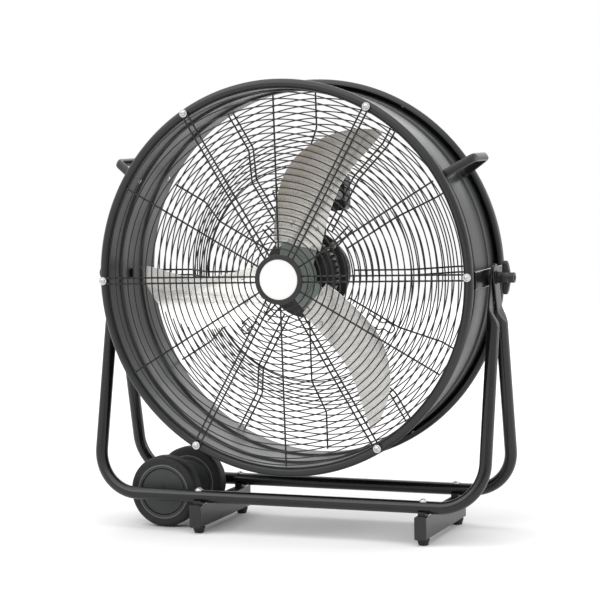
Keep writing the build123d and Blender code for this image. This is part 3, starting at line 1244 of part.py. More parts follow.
with BuildPart() as cord_hooks:
    for angle in HOOK_ANGLES:
        half_loop = [
            (HOOK_START_RADIUS, hook_base),
            (HOOK_START_RADIUS + HOOK_LENGTH, hook_base),
            (HOOK_START_RADIUS + HOOK_LENGTH, hook_base + HOOK_RISE),
            (HOOK_START_RADIUS + HOOK_LENGTH + HOOK_TURN, hook_base + HOOK_RISE),
        ]
        near_side = [off_axis(angle, r, -HOOK_GAP / 2, y) for r, y in half_loop]
        far_side = [off_axis(angle, r, HOOK_GAP / 2, y) for r, y in half_loop]
        with BuildLine() as hook:
            FilletPolyline(*near_side, *reversed(far_side), radius=HOOK_BEND)
        with BuildSketch(square_to(hook.wire())):
            Circle(HOOK_WIRE / 2)
        sweep(path=hook.wire())
finish(cord_hooks, "cord_hooks")
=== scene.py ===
import json
import math

import bmesh
import bpy
from mathutils import Matrix, Vector


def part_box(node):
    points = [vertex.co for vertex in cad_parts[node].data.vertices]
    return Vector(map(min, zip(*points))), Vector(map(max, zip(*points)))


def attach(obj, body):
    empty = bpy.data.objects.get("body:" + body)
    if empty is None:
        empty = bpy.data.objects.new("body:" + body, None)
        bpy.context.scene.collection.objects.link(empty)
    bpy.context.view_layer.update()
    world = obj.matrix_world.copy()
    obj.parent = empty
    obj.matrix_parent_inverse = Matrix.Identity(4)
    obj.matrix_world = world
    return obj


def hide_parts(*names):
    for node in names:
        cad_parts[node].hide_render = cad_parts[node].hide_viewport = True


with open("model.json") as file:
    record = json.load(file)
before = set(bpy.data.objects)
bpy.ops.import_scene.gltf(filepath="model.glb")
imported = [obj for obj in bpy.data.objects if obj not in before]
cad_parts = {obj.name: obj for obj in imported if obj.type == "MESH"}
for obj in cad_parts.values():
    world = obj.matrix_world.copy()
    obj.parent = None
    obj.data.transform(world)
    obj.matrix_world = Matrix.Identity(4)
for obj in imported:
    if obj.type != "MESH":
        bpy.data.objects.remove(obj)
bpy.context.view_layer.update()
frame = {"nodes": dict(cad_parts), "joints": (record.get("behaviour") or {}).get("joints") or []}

# Drum fan on a wheeled tilting stand. Metres, in the frame of the solids: X to the fan's right,
# Y towards the inlet at the back, Z up. Lengths written in millimetres are times MM.

MM = 0.001

# ------------------------------------------------------------------ places read from the frame

joint_places = {joint["name"]: Vector(joint["pos_m"]) for joint in frame["joints"]}
AXIS_HEIGHT = joint_places["drum_tilt"].z
DRUM_CENTRE = Vector((0, 0, AXIS_HEIGHT))


def box_size(node):
    """Extent of a solid along X, Y and Z."""
    low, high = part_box(node)
    return high - low


def box_middle(node):
    """Centre of the box round a solid."""
    low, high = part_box(node)
    return (low + high) / 2


# ------------------------------------------------------------------ driving dimensions

# Drum shell
WALL_RADIUS = 328.75 * MM  # middle of the sheet
SHEET = 1.5 * MM
CURL_RADIUS = 7.75 * MM  # rolled rim, to the middle of the sheet
CURL_OFFSET = 95 * MM
CURL_CENTRE_RADIUS = 336.5 * MM
SWAGE_OFFSET = 43 * MM
SWAGE_WIDTH = 16 * MM
SWAGE_DEPTH = 4 * MM
SWAGE_SLOPE = 3 * MM

# Wire guards
GUARD_TURN = 1.2  # degrees that the guards sit turned in the drum
SECTOR = 60  # degrees between double spokes
SPOKE_WIRE = 3.2 * MM
RING_WIRE = 2.3 * MM
RING_PITCH = 11.7 * MM
FIRST_RING = 53.5 * MM
RING_COUNT = 24
WELD_BITE = 0.3 * MM  # depth that crossed wires melt into each other
SPOKE_PLANE = 105.1 * MM
SPOKE_START = 38 * MM
HAIRPIN_HALF = 5 * MM
DISH_FLOOR = 35 * MM
DISH_FLOOR_RADIUS = 193 * MM
DISH_TOP_RADIUS = 258 * MM
DISH_BEND = 12 * MM
MOTOR_RING_RADIUS = 87 * MM
EAR_BOLT_RADIUS = 72 * MM
EAR_REACH = 116 * MM
EAR_ANGLES = [45 + 90 * ear for ear in range(4)]

# Stand tubes
TUBE_RADIUS = 11 * MM
LEG_OFFSET = 358.5 * MM
RUN_OFFSET = 97.3 * MM
RUN_HEIGHT = 64.4 * MM
CORNER_BEND = 78 * MM
NECK_DROP = 82 * MM
NECK_OFFSET = 27.4 * MM
TAB_DROP = 52 * MM
TAB_OFFSET = 18 * MM
TAB_HALF_WIDTH = 15 * MM
TAB_HALF_SHEET = 2 * MM
TAB_TOP = 9 * MM
TAB_MIDDLES = {"front": 352 * MM, "rear": 356 * MM}
TAB_TIP = 0.4 * MM
TAB_STEPS = 8
TAB_POWER = 7  # outline of a pressed tab, nearly a rectangle
TUBE_POWER = 2  # outline of the tube, a circle
TUBE_SIDES = 32

# ------------------------------------------------------------------ shapes
# A shape is a list of points and a list of faces.


def heading(angle):
    """Unit direction away from the drum axis at an angle from the fan's right."""
    return Vector((math.cos(math.radians(angle)), 0, math.sin(math.radians(angle))))


def off_axis(angle, radius, aside, y):
    """Point at a radius along a heading, moved aside from that radial line."""
    return DRUM_CENTRE + heading(angle) * radius + heading(angle + 90) * aside + Vector((0, y, 0))


def rounded(points, radius, steps=8):
    """Corner points of a wire or an outline with each inner corner bent to a radius."""
    path = [Vector(points[0])]
    for before, corner, after in zip(points, points[1:], points[2:]):
        before, corner, after = Vector(before), Vector(corner), Vector(after)
        back = (before - corner).normalized()
        onward = (after - corner).normalized()
        half_turn = (math.pi - back.angle(onward)) / 2
        if half_turn < 0.01:
            path.append(corner)
            continue
        reach = radius * math.tan(half_turn)
        centre = corner + (back + onward).normalized() * radius / math.cos(half_turn)
        start, end = corner + back * reach - centre, corner + onward * reach - centre
        for step in range(steps + 1):
            path.append(centre + start.slerp(end, step / steps).normalized() * radius)
    path.append(Vector(points[-1]))
    return path


def eased(corners, radius, steps):
    """Flat outline with each inner corner bent to a radius."""
    return [point.xy for point in rounded([(x, y, 0) for x, y in corners], radius, steps)]


def oblong(left, right, low, high):
    """Corners of a rectangle, which a lathe turns into a post, a washer or a ring."""
    return [(left, low), (right, low), (right, high), (left, high)]


def arc(centre, radius, start, sweep, steps):
    """Points on an arc in a flat outline, with angles in degrees."""
    angles = [math.radians(start + sweep * step / steps) for step in range(steps + 1)]
    return [Vector((centre[0] + radius * math.cos(a), centre[1] + radius * math.sin(a))) for a in angles]


def oval(half_width, half_height, power=2.0, count=16):
    """Closed outline that goes from an ellipse at power 2 to a rounded rectangle above it."""
    points = []
    for step in range(count):
        angle = 2 * math.pi * (step + 0.5) / count
        across, up = math.cos(angle), math.sin(angle)
        points.append((
            half_width * math.copysign(abs(across) ** (2 / power), across),
            half_height * math.copysign(abs(up) ** (2 / power), up),
        ))
    return points


def loft(rings, closed=False, capped=True):
    """Skin over rings of equally many points."""
    count = len(rings[0])
    points = [point for ring in rings for point in ring]
    faces = []
    spans = len(rings) if closed else len(rings) - 1
    for i in range(spans):
        a, b = i * count, (i + 1) % len(rings) * count
        for j in range(count):
            k = (j + 1) % count
            faces.append((a + j, a + k, b + k, b + j))
    if capped and not closed:
        faces.append(tuple(range(count)))
        faces.append(tuple(range(len(points) - count, len(points))))
    return points, faces


def sweep(path, section, side, closed=False, swell=None):
    """Section carried along a path, with its first axis kept towards one side.

    Swell gives the section's scale for each share of the path."""
    rings = []
    last = len(path) - 1
    side = Vector(side)
    for i, point in enumerate(path):
        before = path[i - 1] if i or closed else path[0]
        after = path[(i + 1) % len(path)] if i < last or closed else path[last]
        along = (after - before).normalized()
        side = (side - along * side.dot(along)).normalized()
        up = along.cross(side)
        scale = swell(i / last) if swell else 1.0
        rings.append([point + (side * u + up * v) * scale for u, v in section])
    return loft(rings, closed)


def wire(path, diameter, side=(0, 1, 0), closed=False, sides=10):
    """Round wire along a path."""
    return sweep(path, oval(diameter / 2, diameter / 2, count=sides), side, closed)


def lathe(outline, centre=DRUM_CENTRE, axis=(0, 1, 0), segments=128):
    """Closed outline of radius and distance, turned about an axis through a centre."""
    along = Vector(axis)
    side = along.orthogonal().normalized()
    up = along.cross(side)
    rings = []
    for step in range(segments):
        angle = 2 * math.pi * step / segments
        out = side * math.cos(angle) + up * math.sin(angle)
        rings.append([Vector(centre) + out * radius + along * distance for radius, distance in outline])
    return loft(rings, closed=True)


def prism(outline, origin, across, up, depth):
    """Flat outline pushed square to its plane."""
    across, up = Vector(across), Vector(up)
    through = across.cross(up) * depth
    ring = [Vector(origin) + across * x + up * y for x, y in outline]
    return loft([ring, [point + through for point in ring]])


def hex_outline(radius):
    """Six corners round a centre."""
    angles = [math.radians(60 * i) for i in range(6)]
    return [(radius * math.cos(angle), radius * math.sin(angle)) for angle in angles]


def dome(radius, height, steps=6):
    """Lathe outline of a low domed head that stands on distance zero."""
    angles = [math.pi / 2 * i / steps for i in range(steps)]
    crown = [(radius * math.cos(angle), height * math.sin(angle)) for angle in angles]
    return [(0, 0)] + crown + [(0, height)]


def standing(shape, foot, way):
    """Shape that stood on the origin along Z, moved to stand on a foot along a way."""
    points, faces = shape
    turn = Vector(way).to_track_quat("Z", "Y")
    return [turn @ Vector(point) + Vector(foot) for point in points], faces


def post(outline, segments=32):
    """Outline of radius and height turned about Z, for a bolt, screw, foot or washer."""
    return lathe(outline, (0, 0, 0), (0, 0, 1), segments)


def washer(outer, inner, thickness):
    """Flat ring that stands on the origin."""
    return post(oblong(inner, outer, 0, thickness))


def shank(radius, length):
    """Round shank of a screw that reaches down from the origin."""
    return post(oblong(0, radius, -length, 0))


def hex_post(radius, start, end):
    """Hexagon prism along Z."""
    return prism(hex_outline(radius), (0, 0, start), (1, 0, 0), (0, 1, 0), end - start)


# ------------------------------------------------------------------ pieces

CREASE = 32  # edges sharper than this many degrees stay sharp


def joined_mesh(name, shapes):
    """Clean mesh of several shapes."""
    mesh = bpy.data.meshes.new(name)
    points, faces = [], []
    for shape_points, shape_faces in shapes:
        start = len(points)
        points.extend(shape_points)
        faces.extend(tuple(index + start for index in face) for face in shape_faces)
    mesh.from_pydata(points, [], faces)
    work = bmesh.new()
    work.from_mesh(mesh)
    bmesh.ops.remove_doubles(work, verts=work.verts, dist=1e-6)
    bmesh.ops.dissolve_degenerate(work, edges=work.edges, dist=1e-6)
    bmesh.ops.recalc_face_normals(work, faces=work.faces)
    work.to_mesh(mesh)
    work.free()
    return mesh


def place_object(name, data):
    """Object of a mesh or a lamp in the scene."""
    made = bpy.data.objects.new(name, data)
    bpy.context.scene.collection.objects.link(made)
    return made


def recessed_head(radius, height):
    """Domed screw head with a cross recess, standing on the origin, as a shape."""
    head = place_object("head", joined_mesh("head", [post(dome(radius, height), segments=24)]))
    reach, half, floor = 0.55 * radius, 0.13 * radius, 0.35 * height
    bars = []
    for x, y in ((reach, half), (half, reach)):
        bars.append(prism(oblong(-x, x, -y, y), (0, 0, floor), (1, 0, 0), (0, 1, 0), height))
    cutters = [place_object("cutter", joined_mesh("cutter", [bar])) for bar in bars]
    for cutter in cutters:
        cut = head.modifiers.new("recess", "BOOLEAN")
        cut.operation = "DIFFERENCE"
        cut.object = cutter
    bpy.context.view_layer.update()
    result = head.evaluated_get(bpy.context.evaluated_depsgraph_get()).to_mesh()
    shape = ([v.co.copy() for v in result.vertices], [tuple(f.vertices) for f in result.polygons])
    for used in [head] + cutters:
        bpy.data.objects.remove(used)
    return shape


def piece(name, shapes, finish, body, replaces=(), bevel=0.0, crease=CREASE):
    """One object from several shapes, with a finish, on a body of the frame."""
    made = place_object(name, joined_mesh(name, shapes))
    finish_piece(made, finish, body, replaces, bevel, crease)
    return made


def finish_piece(made, finish, body, replaces, bevel, crease):
    """Material, edge rounding, shading and frame calls of a new piece."""
    material, slot_name = finish
    made.data.materials.clear()
    made.data.materials.append(material)
    made.data.shade_smooth()
    made.data.set_sharp_from_angle(angle=math.radians(crease))
    if bevel:
        rounding = made.modifiers.new("edge", "BEVEL")
        rounding.width = bevel
        rounding.segments = 2
        rounding.limit_method = "ANGLE"
        rounding.angle_limit = math.radians(crease)
        rounding.harden_normals = True
    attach(made, body)
    if replaces:
        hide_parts(*replaces)


def dressed(node, finish, body, bevel, crease=CREASE):
    """Solid's own shape with its edges rounded and a finish of its own."""
    mesh = frame["nodes"][node].data.copy()
    mesh.name = node + "_skin"
    work = bmesh.new()
    work.from_mesh(mesh)
    bmesh.ops.remove_doubles(work, verts=work.verts, dist=2e-6)
    bmesh.ops.dissolve_limit(work, angle_limit=math.radians(0.5), verts=work.verts, edges=work.edges)
    work.to_mesh(mesh)
    work.free()
    if "custom_normal" in mesh.attributes:
        mesh.attributes.remove(mesh.attributes["custom_normal"])
    made = place_object(node + "_skin", mesh)
    finish_piece(made, finish, body, (node,), bevel, crease)
    return made


def coated(nodes, finish):
    """Solids that stay as they are and only take a finish."""
    for node in nodes:
        for place in frame["nodes"][node].material_slots:
            place.material = finish[0]


# ------------------------------------------------------------------ materials
# Coatings, plastics and rubber keep the shader's IOR of 1.5, which is typical of them. The scale of
# each noise is one over the distance between its blobs.

NOISE_SPAN = {"From Min": 0.3, "From Max": 0.7}  # a noise stays mostly between these two


def srgb(code):
    """Linear colour of an sRGB hex code."""
    parts = [int(code[i : i + 2], 16) / 255 for i in (1, 3, 5)]
    return tuple(p / 12.92 if p <= 0.04045 else ((p + 0.055) / 1.055) ** 2.4 for p in parts) + (1.0,)


def add_node(owner, kind, settings=(), links=(), feeds=None):
    """Node with its settings and input values, its linked inputs and the socket that it feeds.

    Stops are the places and colours of a ramp. A link to a node means its first output."""
    tree = owner.node_tree
    node = tree.nodes.new("ShaderNode" + kind)
    for name, value in dict(settings).items():
        if name == "stops":
            for stop, (place, code) in zip(node.color_ramp.elements, value.items()):
                stop.position = place
                stop.color = srgb(code)
        elif name in node.inputs:
            node.inputs[name].default_value = value
        else:
            setattr(node, name, value)
    for name, source in dict(links).items():
        output = source if isinstance(source, bpy.types.NodeSocket) else source.outputs[0]
        tree.links.new(output, node.inputs[name])
    if feeds:
        tree.links.new(node.outputs[0], feeds)
    return node


def new_material(name, base, roughness, metallic=0.0, **sockets):
    """Material with one Principled shader, that shader, and places on the object in metres."""
    material = bpy.data.materials.new(name)
    material.use_nodes = True
    shader = material.node_tree.nodes["Principled BSDF"]
    shader.inputs["Base Color"].default_value = srgb(base)
    shader.inputs["Roughness"].default_value = roughness
    shader.inputs["Metallic"].default_value = metallic
    for socket, value in sockets.items():
        shader.inputs[socket.replace("_", " ")].default_value = value
    return material, shader, add_node(material, "TexCoord").outputs["Object"]


def powder_coated_steel():
    """Baked polyester powder on steel: a satin black whose orange peel softens each highlight."""
    material, shader, place = new_material("powder_coated_steel", "#0d0f0e", 0.24)
    # orange peel about 2.5 mm from bump to bump; the shade drifts over about 60 mm
    peel = add_node(material, "TexNoise", {"Scale": 1 / (2.5 * MM), "Detail": 3}, {"Vector": place})
    drift = add_node(material, "TexNoise", {"Scale": 1 / (60 * MM), "Detail": 3}, {"Vector": place})
    tones = {"stops": {0.3: "#0c0e0d", 0.7: "#101211"}}
    gloss = {**NOISE_SPAN, "To Min": 0.21, "To Max": 0.28}
    relief = {"Strength": 0.06, "Distance": 0.05 * MM}
    add_node(material, "ValToRGB", tones, {"Fac": drift}, shader.inputs["Base Color"])
    add_node(material, "MapRange", gloss, {"Value": peel}, shader.inputs["Roughness"])
    add_node(material, "Bump", relief, {"Height": peel}, shader.inputs["Normal"])
    return material


def gloss_enamelled_steel():
    """Gloss black enamel on the pressed pivot brackets: deep black that mirrors the dark knobs."""
    material, shader, place = new_material("gloss_enamelled_steel", "#0b0c0c", 0.2)
    # flow marks of the wet enamel about 1.5 mm wide, in a film that drifts over 30 mm
    flow = add_node(material, "TexNoise", {"Scale": 1 / (1.5 * MM), "Detail": 3}, {"Vector": place})
    drift = add_node(material, "TexNoise", {"Scale": 1 / (30 * MM), "Detail": 3}, {"Vector": place})
    tones = {"stops": {0.3: "#0a0b0b", 0.7: "#0d0e0e"}}
    gloss = {**NOISE_SPAN, "To Min": 0.16, "To Max": 0.24}
    add_node(material, "ValToRGB", tones, {"Fac": drift}, shader.inputs["Base Color"])
    add_node(material, "MapRange", gloss, {"Value": flow}, shader.inputs["Roughness"])
    return material


def powder_coated_sheet_painted_lighter():
    """The same powder on the wide drum sheet, where the rolled wall lies in slow waves. Its base and tones
    are lighter than on the tubes: a painted sheen for the brightness that the wide wall takes from the light.
    """
    material, shader, place = new_material("powder_coated_sheet_painted_lighter", "#1c1e1d", 0.36)
    # waves that the rolls leave in the sheet, about 90 mm long
    waves = add_node(material, "TexNoise", {"Scale": 1 / (90 * MM), "Detail": 1}, {"Vector": place})
    tones = {"stops": {0.3: "#1a1c1b", 0.7: "#202221"}}
    gloss = {**NOISE_SPAN, "To Min": 0.32, "To Max": 0.4}
    relief = {"Strength": 0.2, "Distance": 0.25 * MM}
    add_node(material, "ValToRGB", tones, {"Fac": waves}, shader.inputs["Base Color"])
    add_node(material, "MapRange", gloss, {"Value": waves}, shader.inputs["Roughness"])
    add_node(material, "Bump", relief, {"Height": waves}, shader.inputs["Normal"])
    return material


def dipped_wire():
    """Black dipped and baked wire: glossier than the sheet, nearly no texture at its size."""
    material, shader, place = new_material("dipped_wire", "#161718", 0.34)
    # beads of the dip about 5 mm apart along a wire
    beads = add_node(material, "TexNoise", {"Scale": 1 / (5 * MM), "Detail": 3}, {"Vector": place})
    gloss = {**NOISE_SPAN, "To Min": 0.3, "To Max": 0.4}
    add_node(material, "MapRange", gloss, {"Value": beads}, shader.inputs["Roughness"])
    return material


def moulded_nylon():
    """Moulded black nylon: spark-eroded grain that keeps it matt with a weak sheen."""
    material, shader, place = new_material("moulded_nylon", "#1b1c1d", 0.42)
    # the grain of about 0.2 mm is drawn at 0.9 mm, because it is too fine to show
    grain = add_node(material, "TexNoise", {"Scale": 1 / (0.9 * MM), "Detail": 4}, {"Vector": place})
    drift = add_node(material, "TexNoise", {"Scale": 1 / (25 * MM), "Detail": 3}, {"Vector": place})
    tones = {"stops": {0.3: "#191a1b", 0.7: "#1f2021"}}
    gloss = {**NOISE_SPAN, "To Min": 0.36, "To Max": 0.48}
    relief = {"Strength": 0.35, "Distance": 0.06 * MM}
    add_node(material, "ValToRGB", tones, {"Fac": drift}, shader.inputs["Base Color"])
    add_node(material, "MapRange", gloss, {"Value": grain}, shader.inputs["Roughness"])
    add_node(material, "Bump", relief, {"Height": grain}, shader.inputs["Normal"])
    return material


def moulded_grey_plastic():
    """Moulded dark grey polypropylene of the wheels: matt, a little lighter than the tyres."""
    material, shader, place = new_material("moulded_grey_polypropylene", "#303233", 0.45)
    # the grain of about 0.3 mm is drawn at 1.2 mm, because it is too fine to show
    grain = add_node(material, "TexNoise", {"Scale": 1 / (1.2 * MM), "Detail": 4}, {"Vector": place})
    drift = add_node(material, "TexNoise", {"Scale": 1 / (20 * MM), "Detail": 3}, {"Vector": place})
    tones = {"stops": {0.3: "#2c2e2f", 0.7: "#353738"}}
    gloss = {**NOISE_SPAN, "To Min": 0.4, "To Max": 0.52}
    relief = {"Strength": 0.3, "Distance": 0.05 * MM}
    add_node(material, "ValToRGB", tones, {"Fac": drift}, shader.inputs["Base Color"])
    add_node(material, "MapRange", gloss, {"Value": grain}, shader.inputs["Roughness"])
    add_node(material, "Bump", relief, {"Height": grain}, shader.inputs["Normal"])
    return material


def painted_highlight_ring_plastic():
    """Moulded light grey polypropylene of the pale, smooth ring that frames each wheel disc: a painted
    highlight for the light that the tyre's inner edge catches.
    """
    material, shader, place = new_material("painted_highlight_ring_polypropylene", "#6a6c6d", 0.42)
    # the grain of about 0.3 mm is drawn at 1.2 mm, because it is too fine to show
    grain = add_node(material, "TexNoise", {"Scale": 1 / (1.2 * MM), "Detail": 4}, {"Vector": place})
    drift = add_node(material, "TexNoise", {"Scale": 1 / (20 * MM), "Detail": 3}, {"Vector": place})
    tones = {"stops": {0.3: "#646667", 0.7: "#727475"}}
    gloss = {**NOISE_SPAN, "To Min": 0.38, "To Max": 0.48}
    add_node(material, "ValToRGB", tones, {"Fac": drift}, shader.inputs["Base Color"])
    add_node(material, "MapRange", gloss, {"Value": grain}, shader.inputs["Roughness"])
    return material


def moulded_rubber():
    """Moulded black rubber: dull, with a dusty bloom that greys it in patches."""
    material, shader, place = new_material("moulded_rubber", "#191919", 0.7)
    # patches of bloom about 12 mm wide; the grain of about 0.2 mm is drawn at 0.8 mm to show
    bloom = add_node(material, "TexNoise", {"Scale": 1 / (12 * MM), "Detail": 3}, {"Vector": place})
    grain = add_node(material, "TexNoise", {"Scale": 1 / (0.8 * MM), "Detail": 4}, {"Vector": place})
    tones = {"stops": {0.3: "#151515", 0.7: "#1f1f1f"}}
    gloss = {**NOISE_SPAN, "To Min": 0.6, "To Max": 0.78}
    relief = {"Strength": 0.3, "Distance": 0.05 * MM}
    add_node(material, "ValToRGB", tones, {"Fac": bloom}, shader.inputs["Base Color"])
    add_node(material, "MapRange", gloss, {"Value": grain}, shader.inputs["Roughness"])
    add_node(material, "Bump", relief, {"Height": grain}, shader.inputs["Normal"])
    return material


def zinc_plated_steel():
    """Bright zinc plate: cool silver, its passivated film mottled into soft bright patches."""
    material, shader, place = new_material("zinc_plated_steel", "#cfd1d0", 0.3, metallic=1.0)
    # patches of the film about 2 mm wide
    mottle = add_node(material, "TexNoise", {"Scale": 1 / (2 * MM), "Detail": 3}, {"Vector": place})
    tones = {"stops": {0.3: "#bfc1c0", 0.7: "#dddedc"}}
    gloss = {**NOISE_SPAN, "To Min": 0.22, "To Max": 0.38}
    add_node(material, "ValToRGB", tones, {"Fac": mottle}, shader.inputs["Base Color"])
    add_node(material, "MapRange", gloss, {"Value": mottle}, shader.inputs["Roughness"])
    return material


def rolled_aluminium():
    """Rolled aluminium sheet: bright, its faint mill clouding barely softens what it mirrors."""
    material, shader, place = new_material("rolled_aluminium", "#d0cecb", 0.17, metallic=1.0)
    # clouds of the mill finish about 30 mm wide
    clouds = add_node(material, "TexNoise", {"Scale": 1 / (30 * MM), "Detail": 3}, {"Vector": place})
    tones = {"stops": {0.3: "#cbc9c5", 0.7: "#d4d3d1"}}
    gloss = {**NOISE_SPAN, "To Min": 0.15, "To Max": 0.19}
    add_node(material, "ValToRGB", tones, {"Fac": clouds}, shader.inputs["Base Color"])
    add_node(material, "MapRange", gloss, {"Value": clouds}, shader.inputs["Roughness"])
    return material


def sprayed_hub_enamel():
    """Grey green alkyd enamel sprayed on the pressed hub: soft gloss, slightly uneven."""
    material, shader, place = new_material("grey_green_enamel", "#939b96", 0.42)
    # passes of the spray about 18 mm apart, with droplets about 2 mm wide
    passes = add_node(material, "TexNoise", {"Scale": 1 / (18 * MM), "Detail": 3}, {"Vector": place})
    droplets = add_node(material, "TexNoise", {"Scale": 1 / (2 * MM), "Detail": 3}, {"Vector": place})
    tones = {"stops": {0.3: "#8d9590", 0.7: "#99a19c"}}
    gloss = {**NOISE_SPAN, "To Min": 0.38, "To Max": 0.52}
    add_node(material, "ValToRGB", tones, {"Fac": passes}, shader.inputs["Base Color"])
    add_node(material, "MapRange", gloss, {"Value": droplets}, shader.inputs["Roughness"])
    return material


def cast_motor_enamel():
    """Black enamel on the cast motor: thick paint with a faint casting grain under it."""
    material, shader, place = new_material("cast_motor_enamel", "#2c2e2d", 0.45)
    # grain of the casting sand about 1.8 mm wide under the paint
    grain = add_node(material, "TexNoise", {"Scale": 1 / (1.8 * MM), "Detail": 4}, {"Vector": place})
    gloss = {**NOISE_SPAN, "To Min": 0.36, "To Max": 0.52}
    relief = {"Strength": 0.5, "Distance": 0.12 * MM}
    add_node(material, "MapRange", gloss, {"Value": grain}, shader.inputs["Roughness"])
    add_node(material, "Bump", relief, {"Height": grain}, shader.inputs["Normal"])
    return material


def moulded_white_abs():
    """Moulded white ABS: the clean gloss of the badge disc."""
    material, shader, place = new_material("gloss_white_abs", "#f4f4f3", 0.3)
    # flow of the moulding, in waves about 4 mm wide
    flow = add_node(material, "TexNoise", {"Scale": 1 / (4 * MM), "Detail": 3}, {"Vector": place})
    gloss = {**NOISE_SPAN, "To Min": 0.26, "To Max": 0.34}
    add_node(material, "MapRange", gloss, {"Value": flow}, shader.inputs["Roughness"])
    return material


def laminated_iron():
    """Stacked motor laminations: grey iron with the fine lines of its sheets."""
    material, shader, place = new_material("laminated_iron", "#5b5c5e", 0.5, metallic=1.0)
    # sheets 0.5 mm thick, stacked along Y
    longways = add_node(material, "Mapping", {"Scale": (0.05, 1, 0.05)}, {"Vector": place})
    sheets = add_node(material, "TexNoise", {"Scale": 1 / (0.5 * MM), "Detail": 3}, {"Vector": longways})
    tones = {"stops": {0.3: "#4e4f51", 0.7: "#6a6b6d"}}
    add_node(material, "ValToRGB", tones, {"Fac": sheets}, shader.inputs["Base Color"])
    return material


def enamelled_copper():
    """Enamelled copper winding: warm brown metal with the ripple of its turns."""
    material, shader, place = new_material("enamelled_copper", "#a5613a", 0.35, metallic=0.9)
    # turns of wire 1.2 mm thick that run along Y
    longways = add_node(material, "Mapping", {"Scale": (1, 0.2, 1)}, {"Vector": place})
    turns = add_node(material, "TexNoise", {"Scale": 1 / (1.2 * MM), "Detail": 3}, {"Vector": longways})
    tones = {"stops": {0.3: "#8a4d2b", 0.7: "#b87449"}}
    add_node(material, "ValToRGB", tones, {"Fac": turns}, shader.inputs["Base Color"])
    return material


BLACK_STEEL = (powder_coated_steel(), "black_coat")
# the drum sheet's powder, with a lighter base than on the tubes: a painted sheen
BLACK_SHEET_PAINTED_LIGHTER = (powder_coated_sheet_painted_lighter(), "black_coat")
GLOSS_STEEL = (gloss_enamelled_steel(), "black_coat")
BLACK_WIRE = (dipped_wire(), "black_coat")
BLACK_MOTOR = (cast_motor_enamel(), "black_coat")
BLACK_NYLON = (moulded_nylon(), "black_plastic")
GREY_PLASTIC = (moulded_grey_plastic(), "grey_plastic")
# pale grey of the rings at each tyre's inner edge: a painted highlight
HIGHLIGHT_RING_GREY = (painted_highlight_ring_plastic(), "grey_plastic")
WHITE_PLASTIC = (moulded_white_abs(), "white_plastic")
RUBBER = (moulded_rubber(), "black_rubber")
ZINC = (zinc_plated_steel(), "zinc_steel")
ALUMINIUM = (rolled_aluminium(), "blade_aluminium")
HUB_PAINT = (sprayed_hub_enamel(), "hub_coat")
IRON = (laminated_iron(), "motor_iron")
COPPER = (enamelled_copper(), "copper_wire")

# ------------------------------------------------------------------ drum shell


def sheet_outline(middle_line, thickness):
    """Closed outline of a sheet from the line through its middle."""
    left, right = [], []
    for i, point in enumerate(middle_line):
        before = middle_line[max(i - 1, 0)]
        after = middle_line[min(i + 1, len(middle_line) - 1)]
        along = (after - before).normalized()
        normal = Vector((-along.y, along.x)) * thickness / 2
        left.append(point + normal)
        right.append(point - normal)
    return left + right[::-1]


def drum_wall_line():
    """Radius and distance along the drum, from one curled rim's inside to the other's."""
    near = SWAGE_OFFSET - SWAGE_WIDTH / 2
    far = SWAGE_OFFSET + SWAGE_WIDTH / 2
    groove = WALL_RADIUS - SWAGE_DEPTH
    wall = [
        (WALL_RADIUS, 0),
        (WALL_RADIUS, near - SWAGE_SLOPE),
        (groove, near),
        (groove, far),
        (WALL_RADIUS, far + SWAGE_SLOPE),
        (WALL_RADIUS, CURL_OFFSET),
    ]
    curl = arc((CURL_CENTRE_RADIUS, CURL_OFFSET), CURL_RADIUS, start=180, sweep=-270, steps=24)
    half = eased(wall, SWAGE_SLOPE, steps=4)[:-1] + curl
    other_half = [Vector((point.x, -point.y)) for point in half[:0:-1]]
    return other_half + half


# the drum wall takes the same powder as the tubes with a lighter base: a painted sheen for the light that the
# wide wall catches
piece(
    "drum_wall",
    [lathe(sheet_outline(drum_wall_line(), SHEET), segments=256)],
    BLACK_SHEET_PAINTED_LIGHTER,
    "drum",
    replaces=["drum_shell"],
    crease=50,
)

# ------------------------------------------------------------------ wire guards

DOUBLE_ANGLES = [GUARD_TURN + SECTOR * i for i in range(6)]
SINGLE_ANGLES = [angle + SECTOR / 2 for angle in DOUBLE_ANGLES]
LAST_RING = FIRST_RING + RING_PITCH * (RING_COUNT - 1)
RING_STANDOFF = SPOKE_WIRE / 2 + RING_WIRE / 2 - WELD_BITE
RING_STEPS = 120
RING_SIDES = 8
HALF_TURN = [math.radians(15 * step - 90) for step in range(13)]


def ring_wire(radius, y):
    """One closed ring of a guard."""
    path = [off_axis(360 / RING_STEPS * step, radius, 0, y) for step in range(RING_STEPS)]
    return wire(path, RING_WIRE, closed=True, sides=RING_SIDES)


def hairpin(angle, half_line, y_side):
    """Double spoke: out along one side, round the rim screw and back."""
    out = [off_axis(angle, radius, -HAIRPIN_HALF, y_side * y) for radius, y in half_line]
    back = [off_axis(angle, radius, HAIRPIN_HALF, y_side * y) for radius, y in reversed(half_line)]
    rim_radius, rim_y = half_line[-1]
    turn = [
        off_axis(angle, rim_radius + HAIRPIN_HALF * math.cos(a), HAIRPIN_HALF * math.sin(a), y_side * rim_y)
        for a in HALF_TURN
    ]
    path = rounded(out, DISH_BEND)[:-1] + turn + rounded(back, DISH_BEND)[1:]
    return wire(path, SPOKE_WIRE, side=(0, 1, 0))


